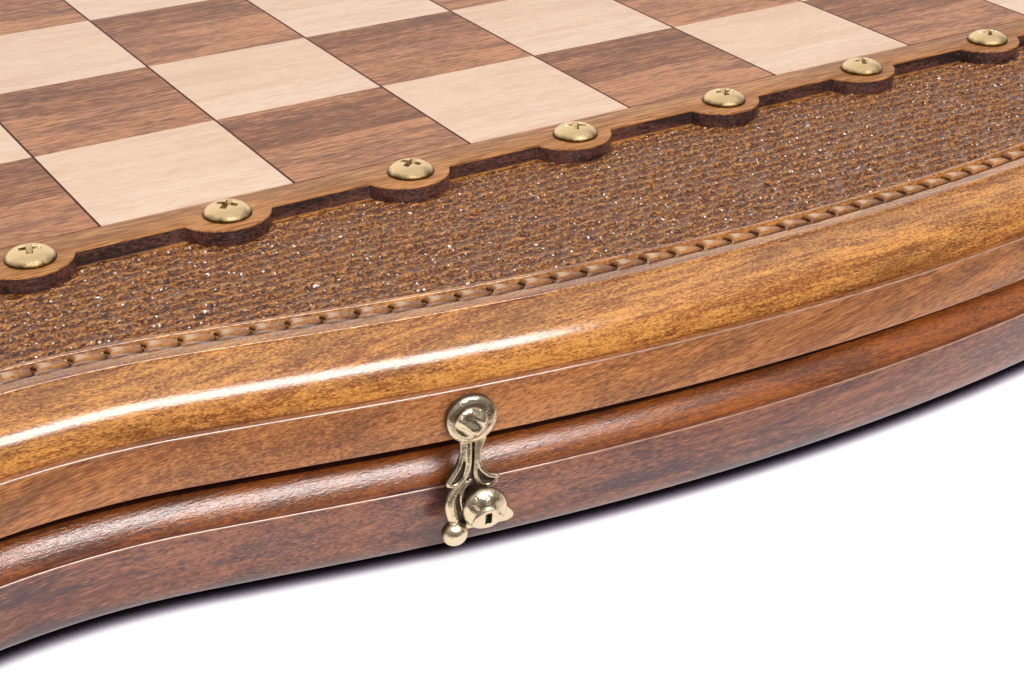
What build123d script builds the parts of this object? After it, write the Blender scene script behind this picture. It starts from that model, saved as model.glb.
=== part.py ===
from build123d import *
import os
from math import asin, atan2, cos, degrees, hypot, radians, sin, sqrt

# A chess box: an 8 x 8 board is the hinged lid of a flat case for the pieces.
# Millimetres, +Z up. The origin is under the middle of the board, on the face that the box rests on.
# The front, with the two clasps, faces -Y, and the hinges are at +Y.
# "inset" below is a distance inwards from the lid's side, square to it in plan.

# ---- playing field ----
square = 45.0                 # side of one playing square
squares_per_side = 8
inlay_width = 0.6             # dark line between two columns
square_thickness = 2.5        # solid wood squares on the plywood panel
panel_thickness = 6.0
panel_lip = 8.0               # how far the border reaches under the panel
glue_gap = 0.1                # between wooden pieces that are fitted into each other

# ---- plan line of the lid's side, one quarter turn of it ----
bulge_width = 87.2            # border width at the middle of a side
bulge_radius = 547.0
flank_length = 30.7           # straight run between the bulge and the waist
waist_radius = 122.7
waist_inset = 11.5            # waist's distance from the line of the playing field's corner
corner_radius = 36.0

# ---- heights ----
base_skirt_height = 16.6      # plain side below the base's bead
neck_height = 4.9             # neck above the base's bead, in the lid's shadow
seam_gap = 0.5                # between the closed lid and the base
lid_wall_height = 11.4        # plain side below the lid's moulded edge
lip_thickness = 5.2           # border plank under the panel
carved_floor_depth = 3.5      # carved border below the squares, and thickness of the scalloped strip

# ---- lid edge moulding ----
ledge_width = 1.6             # top of the lid's plain side, outside the big bead
bead_width = 5.8              # big bead, across
shoulder_width = 2.7          # sloping flat above the bead
shoulder_drop = 1.3
shoulder_step = 0.7           # from the band fillet down to that flat
fillet_step = 0.4             # small steps beside the bead and the rope band
band_fillet_width = 3.2       # plain flat outside the rope
band_depth = 1.9              # that fillet below the squares
rope_width = 3.6
rope_depth = 0.9              # top of the rope below the squares
ridge_width = 0.8             # plain ridge inside the rope
floor_margin = 3.3            # plain floor inside the ridge, part of the moulded run
side_round = 1.0              # lower arris of the lid's side

# ---- base moulding ----
base_inset = 3.5              # base side, in from the lid's side
base_ledge_width = 1.3
base_bead_width = 6.4
base_bead_height = 6.6
neck_step = 1.4               # flat between the bead and the neck
base_round = 6.0              # rounded foot of the base
rail_land = 11.8              # width of the base's top edge at the waist

# ---- scalloped strip and its screws ----
strip_width = 9.4
ear_radius = 10.7
ear_centre = 5.8              # ear, out from the playing field
screw_place = 8.2             # its screw, out from the playing field
ear_corner_gap = 26.4         # last ear, back from the playing field's corner
ear_root_radius = 0.4         # small round where an ear runs into the strip
screw_head_radius = 5.35
screw_head_height = 2.8
screw_shank_radius = 1.5
screw_grip = 6.0              # length below the strip
screw_slot_width = 1.0
screw_slot_depth = 1.1
screw_clearance = 0.05

# ---- case interior ----
bottom_thickness = 4.0        # panel let in flush with the resting face
bottom_rebate = 6.0           # width of the rebate that holds it
lining_thickness = 1.0
lining_gap = 0.5              # felt is cut this much short of the wood
columns_of_cells = 4
rows_of_cells = 6
divider_thickness = 4.0
divider_drop = 2.3            # dividers end this far below the top of the base
divider_gap = 0.2             # in the half-laps and at the ends

# ---- hinges ----
hinge_place = 55.0            # middle of a hinge from the middle of the box
hinge_length = 38.0
leaf_bed = 11.0               # least depth of the leaf's bed in the top of the base
leaf_thickness = 1.2
knuckle_radius = 2.4
knuckles = 5
knuckle_gap = 0.4             # between two knuckles, end to end
pin_radius = 1.1
pin_clearance = 0.05
hinge_wood_gap = 0.6          # knuckle to the lid's side
hinge_screws = 3              # in each leaf
hinge_screw_end = 6.5         # outer screws from the leaf's ends
hinge_screw_radius = 1.3
hinge_screw_head = 2.6
hinge_screw_length = 8.0

# ---- clasps ----
clasp_place = 91.0            # pivot from the middle of the front
pivot_height = 5.3            # pivot above the lid's lower edge
clasp_gap = 0.4               # hook to the lid's side
hook_thickness = 2.0
hook_disc_radius = 5.1
hook_waist = 2.3              # half width of the hook's neck
hook_leaf = 5.6               # half width across the leaf tips
hook_scroll = 6.0             # scroll's reach to the left of the pivot
ball_radius = 2.6
pivot_radius = 1.5
pivot_head_radius = 2.9
pivot_head_height = 1.9
head_gap = 0.35               # hook to the heads of the pivot and the stud
pivot_grip = 12.0             # screw length in the wood
stud_across = 1.95            # stud to the right of the pivot
stud_drop = 2.7               # stud below the top of the plain base side
stud_post_radius = 2.0
stud_clearance = 0.45         # hook to the post
stud_head_radius = 4.5
stud_head_height = 2.6
stud_grip = 9.0
keeper_half_width = 7.6       # plate under the stud, along its foot
keeper_top_half_width = 4.0
keeper_thickness = 1.2
keeper_ledge_gap = 0.5        # plate's top below the ledge over it

# ---- derived places ----
half_field = square * squares_per_side / 2
base_height = base_skirt_height + base_bead_height + neck_height
lid_bottom = base_height + seam_gap
ledge_height = lid_bottom + lid_wall_height
panel_bottom = ledge_height + lip_thickness
panel_top = panel_bottom + panel_thickness
lid_top = panel_top + square_thickness
carved_floor = lid_top - carved_floor_depth
ears_per_side = squares_per_side
neck_inset = base_inset + base_ledge_width + base_bead_width + neck_step
side_half = half_field + bulge_width
waist_x = half_field - waist_inset
radii = bulge_radius + waist_radius
bulge_turn = asin(waist_x / hypot(radii, flank_length)) - atan2(flank_length, radii)
waist_drop = radii * (1 - cos(bulge_turn)) + flank_length * sin(bulge_turn)
waist_half = side_half - waist_drop
waist_centre_y = -(waist_half + waist_radius)
corner_reach = waist_radius + corner_radius
corner_turn = asin((-waist_centre_y - waist_x) / (sqrt(2) * corner_reach)) - radians(45)
corner_x = waist_x + corner_reach * sin(corner_turn)
opening_half = waist_half - neck_inset - rail_land
lining_top = bottom_thickness + lining_thickness
divider_top = base_height - divider_drop
stud_height = base_skirt_height - stud_drop
stud_below = lid_bottom + pivot_height - stud_height
FRONT = 270.0                 # outward direction of the front side, degrees


# ---- plan line: a chain of arcs and straight runs, left mitre to right mitre ----
def plan_runs():
    """Runs of the front side.

    Each is (centre or None, radius, sense, first outward direction, last one, start point or None).
    """
    bulge = degrees(bulge_turn)
    corner = degrees(corner_turn)
    bulge_centre = (0.0, -side_half + bulge_radius)
    flank_start = (
        -waist_x + waist_radius * sin(bulge_turn),
        waist_centre_y + waist_radius * cos(bulge_turn),
    )
    flank_mirror = (bulge_radius * sin(bulge_turn), bulge_centre[1] - bulge_radius * cos(bulge_turn))
    return [
        ((-corner_x, -corner_x), corner_radius, 1, FRONT - 45, FRONT + corner, None),
        ((-waist_x, waist_centre_y), waist_radius, -1, FRONT + corner, FRONT - bulge, None),
        (None, flank_length, 0, FRONT - bulge, FRONT - bulge, flank_start),
        (bulge_centre, bulge_radius, 1, FRONT - bulge, FRONT + bulge, None),
        (None, flank_length, 0, FRONT + bulge, FRONT + bulge, flank_mirror),
        ((waist_x, waist_centre_y), waist_radius, -1, FRONT + bulge, FRONT - corner, None),
        ((corner_x, -corner_x), corner_radius, 1, FRONT - corner, FRONT + 45, None),
    ]


def run_point(run, direction, inset):
    """Point of an arc run where its outward direction is the given one, moved in by inset."""
    centre, radius, sense = run[0], run[1], run[2]
    reach = sense * radius - inset
    return (centre[0] + reach * cos(radians(direction)), centre[1] + reach * sin(radians(direction)))


def straight_ends(run, inset):
    """Both ends of a straight run, moved in by inset."""
    turn = radians(run[3])
    x = run[5][0] - inset * cos(turn)
    y = run[5][1] - inset * sin(turn)
    return (x, y), (x - run[1] * sin(turn), y + run[1] * cos(turn))


def plan_edges(inset):
    """The front side's plan line as edges, moved in by inset."""
    edges = []
    for run in plan_runs():
        if run[0] is None:
            start, end = straight_ends(run, inset)
            edges.append(Line(start, end))
        else:
            middle = (run[3] + run[4]) / 2
            points = [run_point(run, direction, inset) for direction in (run[3], middle, run[4])]
            edges.append(ThreePointArc(*points))
    return edges


def side_y(x, inset=0.0):
    """Distance of the bulge from the box's X axis at x, moved in by inset."""
    return side_half - bulge_radius + sqrt((bulge_radius - inset) ** 2 - x * x)


def slab(inset, inner_half, low, high):
    """Mitred plank from the plan line, moved in by inset, to a straight inner edge."""
    edges = plan_edges(inset)
    first = edges[0] @ 0
    last = edges[-1] @ 1
    edges.append(Line(last, (inner_half, -inner_half)))
    edges.append(Line((inner_half, -inner_half), (-inner_half, -inner_half)))
    edges.append(Line((-inner_half, -inner_half), first))
    return Pos(0, 0, low) * extrude(Face(Wire(edges)), high - low, dir=(0, 0, 1))


def section(outline, radius_of):
    """Face from (inset, height) corners; a corner of four numbers is an arc's middle and end."""
    start = outline[0]
    here = (radius_of(start[0]), start[1])
    edges = []
    for corner in outline[1:] + [start]:
        end = (radius_of(corner[-2]), corner[-1])
        if len(corner) == 4:
            edges.append(ThreePointArc(here, (radius_of(corner[0]), corner[1]), end))
        else:
            edges.append(Line(here, end))
        here = end
    return Face(Wire(edges))


def section_plane(origin, direction):
    turn = radians(direction)
    return Plane(origin=origin, x_dir=(cos(turn), sin(turn), 0), z_dir=(sin(turn), -cos(turn), 0))


def moulding(outline):
    """The outline run along the front side: turned about each arc and pushed along each straight."""
    pieces = []
    for run in plan_runs():
        if run[0] is None:
            start, end = straight_ends(run, 0)
            face = section_plane((*start, 0), run[3]) * section(outline, lambda inset: -inset)
            heading = (end[0] - start[0], end[1] - start[1], 0)
            pieces.append(extrude(face, run[1], dir=heading))
            continue
        centre, radius, sense = run[0], run[1], run[2]
        low, high = sorted((run[3], run[4]))
        if sense < 0:
            low, high = low - 180, high - 180
        face = section_plane((*centre, 0), low) * section(outline, lambda inset: radius - sense * inset)
        pieces.append(revolve(face, Axis((*centre, 0), (0, 0, 1)), high - low))
    whole = pieces[0]
    for piece in pieces[1:]:
        whole = whole + piece
    return whole


def box_between(low, high):
    """Box from its lowest corner to its highest."""
    size = [high[i] - low[i] for i in range(3)]
    return Pos(*low) * Box(*size, align=(Align.MIN, Align.MIN, Align.MIN))


def cylinder_z(radius, low, high, x=0.0, y=0.0):
    return Pos(x, y, low) * Cylinder(radius, high - low, align=(Align.CENTER, Align.CENTER, Align.MIN))


def cylinder_x(radius, start, end, y, z):
    turned = Rot(0, 90, 0) * Cylinder(radius, end - start, align=(Align.CENTER, Align.CENTER, Align.MIN))
    return Pos(start, y, z) * turned


def dome(radius, height):
    """Cap of a ball, standing on Z = 0."""
    ball = (radius * radius + height * height) / (2 * height)
    keep = Cylinder(radius * 2, height * 2, align=(Align.CENTER, Align.CENTER, Align.MIN))
    return (Pos(0, 0, height - ball) * Sphere(ball)) & keep


def slotted_head(radius, height, slots):
    """Round screw head on Z = 0 with straight slots across it."""
    head = dome(radius, height)
    for turn in slots:
        slot = Box(radius * 3, screw_slot_width, screw_slot_depth * 2)
        head = head - Pos(0, 0, height) * Rot(0, 0, turn) * slot
    return head


# ---- lid ----
def band_insets():
    """Insets of the moulded edge's corners, from the ledge inwards."""
    bead_top = ledge_width + bead_width
    shoulder_top = bead_top + shoulder_width
    rope_outer = shoulder_top + fillet_step / 2 + band_fillet_width
    rope_inner = rope_outer + rope_width
    ridge_inner = rope_inner + fillet_step + ridge_width
    return bead_top, shoulder_top, rope_outer, rope_inner, ridge_inner


def moulding_width():
    """Inset where the moulded edge ends and the flat carved floor goes on."""
    return band_insets()[-1] + fillet_step + floor_margin


def border_outline():
    bead_top, shoulder_top, rope_outer, rope_inner, ridge_inner = band_insets()
    band_top = lid_top - band_depth
    shoulder_height = band_top - shoulder_step
    bead_height = shoulder_height - shoulder_drop - fillet_step
    bead_drop = bead_height - ledge_height
    channel = band_top - fillet_step
    bead_low = ledge_height + side_round / 2
    bead_mid = (ledge_width + bead_width * 0.26, ledge_height + bead_drop * 0.65)
    return [
        (moulding_width(), ledge_height),
        (ledge_width, ledge_height),
        (ledge_width, bead_low),
        (*bead_mid, bead_top, bead_height),
        (bead_top + fillet_step / 2, bead_height + fillet_step),
        (shoulder_top, shoulder_height),
        (shoulder_top + fillet_step / 2, band_top),
        (rope_outer - fillet_step, band_top),
        (rope_outer, channel),
        ((rope_outer + rope_inner) / 2, lid_top - rope_depth, rope_inner, channel),
        (rope_inner + fillet_step, lid_top - rope_depth),
        (ridge_inner, lid_top - rope_depth),
        (ridge_inner + fillet_step, carved_floor),
        (moulding_width(), carved_floor),
    ]


def ear_places():
    first = ear_corner_gap - half_field
    pitch = -2 * first / (ears_per_side - 1)
    return [first + i * pitch for i in range(ears_per_side)]


def screw_y():
    return -half_field - screw_place


def lid_border():
    """Carved border plank of the front, with the moulded edge and the lip that carries the panel."""
    lip_half = half_field - panel_lip
    plank = moulding(border_outline())
    plank = plank + slab(moulding_width(), half_field + glue_gap, ledge_height, carved_floor)
    plank = plank + slab(moulding_width(), lip_half, ledge_height, panel_bottom)
    hole_radius = screw_shank_radius + screw_clearance
    hole_end = carved_floor - screw_grip - glue_gap
    for x in ear_places():
        plank = plank - cylinder_z(hole_radius, hole_end, carved_floor + 1, x, screw_y())
    return plank


def lid_wall():
    """Plain lower side of the lid; its outer lower arris is rounded, a little flatter than a circle."""
    inner = neck_inset
    middle = side_round * 0.33
    outline = [
        (inner, lid_bottom),
        (side_round, lid_bottom),
        (middle, lid_bottom + middle, 0, lid_bottom + side_round),
        (0, ledge_height),
        (inner, ledge_height),
    ]
    return moulding(outline) + slab(inner, opening_half, lid_bottom, ledge_height)


def scalloped_strip():
    """Strip round the squares with an ear for each screw."""
    inner = half_field + glue_gap
    outer = half_field + strip_width
    corners = [(-inner, -inner), (inner, -inner), (outer, -outer), (-outer, -outer)]
    flat = Face(Wire.make_polygon([Vector(*corner) for corner in corners]))
    strip = extrude(flat, carved_floor_depth, dir=(0, 0, 1))
    ears_end = -half_field - ear_radius * 3
    beyond = box_between((-outer, ears_end, -1), (outer, -inner, carved_floor_depth + 1))
    for x in ear_places():
        strip = strip + (cylinder_z(ear_radius, 0, carved_floor_depth, x, -half_field - ear_centre) & beyond)
    upright = strip.edges().filter_by(Axis.Z).filter_by_position(Axis.Y, -outer - 0.01, -outer + 0.01)
    roots = [edge for edge in upright if abs(edge.center().X) < outer - ear_root_radius]
    strip = fillet(roots, ear_root_radius)
    hole_radius = screw_shank_radius + screw_clearance
    for x in ear_places():
        strip = strip - cylinder_z(hole_radius, -1, carved_floor_depth + 1, x, screw_y())
    return Pos(0, 0, carved_floor) * strip


def frame_screw():
    """Round-head brass screw, its head standing on Z = 0."""
    head = slotted_head(screw_head_radius, screw_head_height, (0, 90))
    return head + cylinder_z(screw_shank_radius, -carved_floor_depth - screw_grip, 0)


def frame_screws():
    one = frame_screw()
    return [
        Rot(0, 0, 90 * side) * Pos(x, screw_y(), lid_top) * Rot(0, 0, 25 + 35 * number) * one
        for side in range(4)
        for number, x in enumerate(ear_places())
    ]


def column_edges(column):
    """Left and right edge of a column's squares, clear of the inlays beside it."""
    left = -half_field + column * square + (inlay_width / 2 if column > 0 else 0)
    right = -half_field + (column + 1) * square - (inlay_width / 2 if column < squares_per_side - 1 else 0)
    return left, right


def field_squares(colour):
    """All squares of one colour: 0 is dark, as in the near left corner, and 1 is light."""
    solids = []
    for column in range(squares_per_side):
        left, right = column_edges(column)
        for row in range(squares_per_side):
            if (column + row) % 2 == colour:
                near = -half_field + row * square
                solids.append(box_between((left, near, panel_top), (right, near + square, lid_top)))
    return solids


def column_inlays():
    solids = []
    for column in range(1, squares_per_side):
        x = -half_field + column * square
        low = (x - inlay_width / 2, -half_field, panel_top)
        solids.append(box_between(low, (x + inlay_width / 2, half_field, lid_top)))
    return solids


# ---- base ----
def base_rail():
    """Upper plank of the base: bead, neck and the edge that the lid closes over."""
    bead_outer = base_inset + base_ledge_width
    bead_inner = bead_outer + base_bead_width
    low = base_skirt_height
    mid_inset = bead_outer + base_bead_width * (1 - sqrt(0.5)) * 0.9
    mid_height = low + base_bead_height * (0.3 + sqrt(0.5) * 0.6)
    bead_top = low + base_bead_height
    inner = neck_inset + rail_land / 4
    outline = [
        (inner, low),
        (bead_outer, low),
        (mid_inset, mid_height, bead_inner, bead_top),
        (neck_inset, bead_top),
        (neck_inset, base_height),
        (inner, base_height),
    ]
    return moulding(outline) + slab(inner, opening_half, low, base_height)


def base_skirt():
    """Lower plank of the base: plain side, rounded foot and the rebate for the bottom panel."""
    inner = neck_inset
    side = base_inset
    middle = base_round * (1 - sqrt(0.5))
    outline = [
        (inner, 0),
        (side + base_round, 0),
        (side + middle, middle, side, base_round),
        (side, base_skirt_height),
        (inner, base_skirt_height),
    ]
    skirt = moulding(outline) + slab(inner, opening_half, 0, base_skirt_height)
    rebate = opening_half + bottom_rebate
    return skirt - box_between((-rebate, -rebate, -1), (rebate, rebate, bottom_thickness))


def flat_panel(half, low, high):
    return box_between((-half, -half, low), (half, half, high))


def divider_lines(count):
    """Middle lines of the dividers that part the opening into count cells."""
    return [-opening_half + 2 * opening_half * i / count for i in range(1, count)]


def divider_reach():
    return opening_half - divider_gap


def long_divider(x):
    """Divider from front to back, notched from above for each cross divider."""
    half = divider_thickness / 2
    top = divider_top
    middle = (lining_top + top) / 2
    piece = box_between((x - half, -divider_reach(), lining_top), (x + half, divider_reach(), top))
    notch = half + divider_gap / 2
    for y in divider_lines(rows_of_cells):
        piece = piece - box_between((x - half - 1, y - notch, middle), (x + half + 1, y + notch, top + 1))
    return piece


def cross_divider(y):
    """Divider from side to side, notched from below for each long divider."""
    half = divider_thickness / 2
    top = divider_top
    middle = (lining_top + top) / 2
    piece = box_between((-divider_reach(), y - half, lining_top), (divider_reach(), y + half, top))
    notch = half + divider_gap / 2
    for x in divider_lines(columns_of_cells):
        low = (x - notch, y - half - 1, lining_top - 1)
        piece = piece - box_between(low, (x + notch, y + half + 1, middle))
    return piece


# ---- hinges ----
def hinge_axis():
    """Height and Y of the pins: outside the lid's side everywhere along the hinge."""
    wood = side_y(hinge_place - hinge_length / 2)
    y = max(wood + hinge_wood_gap + knuckle_radius, side_half + hinge_wood_gap)
    return y, base_height + seam_gap / 2


def leaf_inner_y():
    """Inner edge of the leaves: bedded in the base even where the bulge falls away at their outer ends."""
    return side_y(hinge_place + hinge_length / 2, neck_inset) - leaf_bed


def hinge_screw_places(x):
    y = leaf_inner_y() + leaf_bed / 2
    first = x - hinge_length / 2 + hinge_screw_end
    pitch = (hinge_length - 2 * hinge_screw_end) / (hinge_screws - 1)
    return [(first + i * pitch, y) for i in range(hinge_screws)]


def countersink(radius, face, up):
    """Cone of a flat screw head whose wide end lies on the height face; up is 1 if that end is above."""
    depth = leaf_thickness
    cone = Cone(hinge_screw_radius, radius, depth, align=(Align.CENTER, Align.CENTER, Align.MAX))
    return Pos(0, 0, face) * (cone if up > 0 else Rot(180, 0, 0) * cone)


def hinge_leaf(x, face, up, own):
    """Leaf with its outer face at the height face; own is the first of its knuckles, 0 or 1."""
    axis_y, axis_z = hinge_axis()
    low, high = (face - leaf_thickness, face) if up > 0 else (face, face + leaf_thickness)
    start = x - hinge_length / 2
    plate_edge = axis_y - knuckle_radius - knuckle_gap
    leaf = box_between((start, leaf_inner_y(), low), (start + hinge_length, plate_edge, high))
    pitch = hinge_length / knuckles
    bore = pin_radius + pin_clearance
    for number in range(own, knuckles, 2):
        left = start + number * pitch + knuckle_gap / 2
        right = start + (number + 1) * pitch - knuckle_gap / 2
        web = box_between((left, plate_edge - leaf_thickness, low), (right, axis_y, high))
        leaf = leaf + web + cylinder_x(knuckle_radius, left, right, axis_y, axis_z)
    leaf = leaf - cylinder_x(bore, start - 1, start + hinge_length + 1, axis_y, axis_z)
    for place in hinge_screw_places(x):
        hole = cylinder_z(hinge_screw_radius + screw_clearance, low - 1, high + 1)
        sink = countersink(hinge_screw_head + screw_clearance, face, up)
        leaf = leaf - Pos(*place, 0) * (hole + sink)
    return leaf


def hinge_pin(x):
    axis_y, axis_z = hinge_axis()
    return cylinder_x(pin_radius, x - hinge_length / 2, x + hinge_length / 2, axis_y, axis_z)


def hinge_screw_set(face, up):
    """Flat-head screws of both hinges on one side of the seam."""
    solids = []
    for x in (-hinge_place, hinge_place):
        for place in hinge_screw_places(x):
            ends = (face - hinge_screw_length, face) if up > 0 else (face, face + hinge_screw_length)
            screw = cylinder_z(hinge_screw_radius, *ends) + countersink(hinge_screw_head, face, up)
            slot = Box(hinge_screw_head * 3, screw_slot_width / 2, leaf_thickness)
            solids.append(Pos(*place, 0) * (screw - Pos(0, 0, face) * slot))
    return solids


def hinge_mortises(face, up):
    """What a hinge takes out of the wood at a seam face: leaf beds and screw holes."""
    depth = leaf_thickness + glue_gap
    low, high = (face - depth, face + 1) if up > 0 else (face - 1, face + depth)
    deep = hinge_screw_length + glue_gap
    cuts = []
    for x in (-hinge_place, hinge_place):
        half = hinge_length / 2 + glue_gap
        cut_low = (x - half, leaf_inner_y() - glue_gap, low)
        cuts.append(box_between(cut_low, (x + half, side_half * 1.2, high)))
        for place in hinge_screw_places(x):
            ends = (face - deep, face) if up > 0 else (face, face + deep)
            cuts.append(Pos(*place, 0) * cylinder_z(hinge_screw_radius + screw_clearance, *ends))
    return cuts


# ---- clasps: X to the right, Y up, Z out of the box, with the pivot at the origin ----
def clasp_plane(x):
    """Plane on the lid's side at the pivot of the clasp at x."""
    turn = asin(x / bulge_radius)
    origin = (x, -side_y(x), lid_bottom + pivot_height)
    return Plane(origin=origin, x_dir=(cos(turn), sin(turn), 0), z_dir=(sin(turn), -cos(turn), 0))


def hook():
    """Cast hook: disc, leaf-shaped neck, scroll that grips the stud from the left, and ball."""
    grip = stud_post_radius + stud_clearance
    stud_x, stud_y = stud_across, -stud_below
    shoulder_y = -hook_disc_radius * 0.75
    waist_y = -stud_below * 0.45
    tip_y = stud_y + grip + 3.2
    lip_low = stud_y - grip - 2.2
    edges = [
        ThreePointArc((-hook_waist - 1, shoulder_y), (-hook_waist, waist_y), (-hook_leaf, tip_y)),
        Line((-hook_leaf, tip_y), (-hook_scroll + 1.2, tip_y - 1.6)),
        ThreePointArc(
            (-hook_scroll + 1.2, tip_y - 1.6),
            (-hook_scroll, stud_y + 0.6),
            (-hook_scroll + 1.4, lip_low + 0.6),
        ),
        Line((-hook_scroll + 1.4, lip_low + 0.6), (-hook_scroll + 2.6, lip_low)),
        Line((-hook_scroll + 2.6, lip_low), (stud_x, lip_low)),
        Line((stud_x, lip_low), (stud_x, stud_y - grip)),
        ThreePointArc((stud_x, stud_y - grip), (stud_x - grip, stud_y), (stud_x, stud_y + grip)),
        Line((stud_x, stud_y + grip), (hook_leaf, tip_y - 0.2)),
        ThreePointArc((hook_leaf, tip_y - 0.2), (hook_waist, waist_y), (hook_waist + 1, shoulder_y)),
        Line((hook_waist + 1, shoulder_y), (-hook_waist - 1, shoulder_y)),
    ]
    body = extrude(Face(Wire(edges)), hook_thickness, dir=(0, 0, 1))
    body = body + cylinder_z(hook_disc_radius, 0, hook_thickness)
    ball_y = lip_low - ball_radius * 0.05
    ball = Pos(-hook_scroll + ball_radius * 0.8, ball_y, hook_thickness * 0.9) * Sphere(ball_radius)
    front = box_between((-50, -50, 0), (50, 50, 50))
    body = body + (ball & front)
    body = body - cylinder_z(pivot_radius + pin_clearance, -1, hook_thickness + 1)
    return Pos(0, 0, clasp_gap) * body


def clasp_pivot():
    """Slotted screw that the hook turns on; it is fixed in the lid."""
    under = clasp_gap + hook_thickness + head_gap
    head = Pos(0, 0, under) * slotted_head(pivot_head_radius, pivot_head_height, (20,))
    return head + cylinder_z(pivot_radius, -pivot_grip, under)


def clasp_stud():
    """Slotted stud in the base: shank in the wood, post and round head."""
    under = clasp_gap + hook_thickness + head_gap
    head = Pos(0, 0, under) * slotted_head(stud_head_radius, stud_head_height, (-30, 60))
    post = cylinder_z(stud_post_radius, -base_inset, under)
    shank = cylinder_z(pivot_radius, -base_inset - stud_grip, -base_inset)
    return Pos(stud_across, -stud_below, 0) * (head + post + shank)


def clasp_keeper():
    """Small plate under the stud, wider at its foot."""
    foot = base_round - stud_height
    top = stud_drop - keeper_ledge_gap
    corners = [
        (-keeper_half_width, foot),
        (keeper_half_width, foot),
        (keeper_top_half_width, top),
        (-keeper_top_half_width, top),
    ]
    flat = Face(Wire.make_polygon([Vector(*corner) for corner in corners]))
    plate = extrude(flat, keeper_thickness, dir=(0, 0, 1))
    plate = fillet(plate.edges().filter_by(Axis.Z), keeper_thickness)
    plate = plate - cylinder_z(stud_post_radius + screw_clearance, -1, keeper_thickness + 1)
    return Pos(stud_across, -stud_below, -base_inset) * plate


def clasp_holes(x, across, up, depth):
    """Screw hole into the wood at a clasp, from well outside the side to the given depth."""
    hole = cylinder_z(pivot_radius + screw_clearance, -depth - glue_gap, 5)
    return clasp_plane(x) * Pos(across, up, 0) * hole


# ---- write one STEP for each sub-part ----
def write(name, shape):
    solids = shape if isinstance(shape, list) else [shape]
    solids = [solid for item in solids for solid in item.solids()]
    export_step(solids[0] if len(solids) == 1 else Compound(solids), "parts/" + name + ".step")


def four_sides(front):
    """The front piece and its three copies, by the side that each belongs to."""
    sides = ("front", "right", "back", "left")
    return {side: Rot(0, 0, 90 * number) * front for number, side in enumerate(sides)}


def main():
    os.makedirs("parts", exist_ok=True)
    clasps = {"left": -clasp_place, "right": clasp_place}
    hinges = {"left": -hinge_place, "right": hinge_place}

    borders = four_sides(lid_border())
    walls = four_sides(lid_wall())
    rails = four_sides(base_rail())
    skirts = four_sides(base_skirt())
    for x in clasps.values():
        walls["front"] = walls["front"] - clasp_holes(x, 0, 0, pivot_grip)
        skirts["front"] = skirts["front"] - clasp_holes(x, stud_across, -stud_below, base_inset + stud_grip)
    for cut in hinge_mortises(lid_bottom, -1):
        walls["back"] = walls["back"] - cut
    for cut in hinge_mortises(base_height, 1):
        rails["back"] = rails["back"] - cut
    groups = {
        "lid_border": borders,
        "lid_wall": walls,
        "scalloped_strip": four_sides(scalloped_strip()),
        "base_rail": rails,
        "base_skirt": skirts,
    }
    for name, sides in groups.items():
        for side, piece in sides.items():
            write(name + "_" + side, piece)

    write("dark_squares", field_squares(0))
    write("light_squares", field_squares(1))
    write("column_inlays", column_inlays())
    write("lid_panel", flat_panel(half_field, panel_bottom, panel_top))
    lining_half = half_field - panel_lip - lining_gap
    write("lid_lining", flat_panel(lining_half, panel_bottom - lining_thickness, panel_bottom))
    write("frame_screws", frame_screws())

    write("bottom_panel", flat_panel(opening_half + bottom_rebate - glue_gap, 0, bottom_thickness))
    write("base_lining", flat_panel(opening_half - lining_gap, bottom_thickness, lining_top))
    for number, x in enumerate(divider_lines(columns_of_cells), 1):
        write(f"long_divider_{number}", long_divider(x))
    for number, y in enumerate(divider_lines(rows_of_cells), 1):
        write(f"cross_divider_{number}", cross_divider(y))

    for side, x in hinges.items():
        write("hinge_leaf_base_" + side, hinge_leaf(x, base_height, 1, 0))
        write("hinge_leaf_lid_" + side, hinge_leaf(x, lid_bottom, -1, 1))
        write("hinge_pin_" + side, hinge_pin(x))
    write("hinge_screws_base", hinge_screw_set(base_height, 1))
    write("hinge_screws_lid", hinge_screw_set(lid_bottom, -1))

    for side, x in clasps.items():
        plane = clasp_plane(x)
        write("clasp_hook_" + side, plane * hook())
        write("clasp_pivot_" + side, plane * clasp_pivot())
        write("clasp_stud_" + side, plane * clasp_stud())
        write("clasp_keeper_" + side, plane * clasp_keeper())

    axis_y, axis_z = hinge_axis()
    print(f"side half {side_half:.2f}, waist half {waist_half:.2f}, corner {corner_x:.2f}")
    print(f"opening half {opening_half:.2f}, lid top {lid_top:.2f}")
    print(f"hinge axis y {axis_y:.3f} z {axis_z:.3f}")
    for side, x in clasps.items():
        plane = clasp_plane(x)
        print("clasp", side, "pivot", plane.origin, "outward", plane.z_dir)


main()
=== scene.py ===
# %% [markdown]
# # A chess box with a moulded and carved lid
# The board is the hinged lid of a flat case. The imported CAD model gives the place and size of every
# part, so the lesson starts by loading it. Each step below then makes one piece or one finish: what
# it is on the real box, how it could be made in Blender, and why this way was chosen. Shapes are
# drawn in millimetres and scaled to Blender's metres when their mesh is made.

# %% Load the model
from math import asin, atan2, cos, hypot, pi, radians, sin, sqrt
import bpy
import bmesh
import numpy as np
from mathutils import Matrix, Vector


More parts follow.
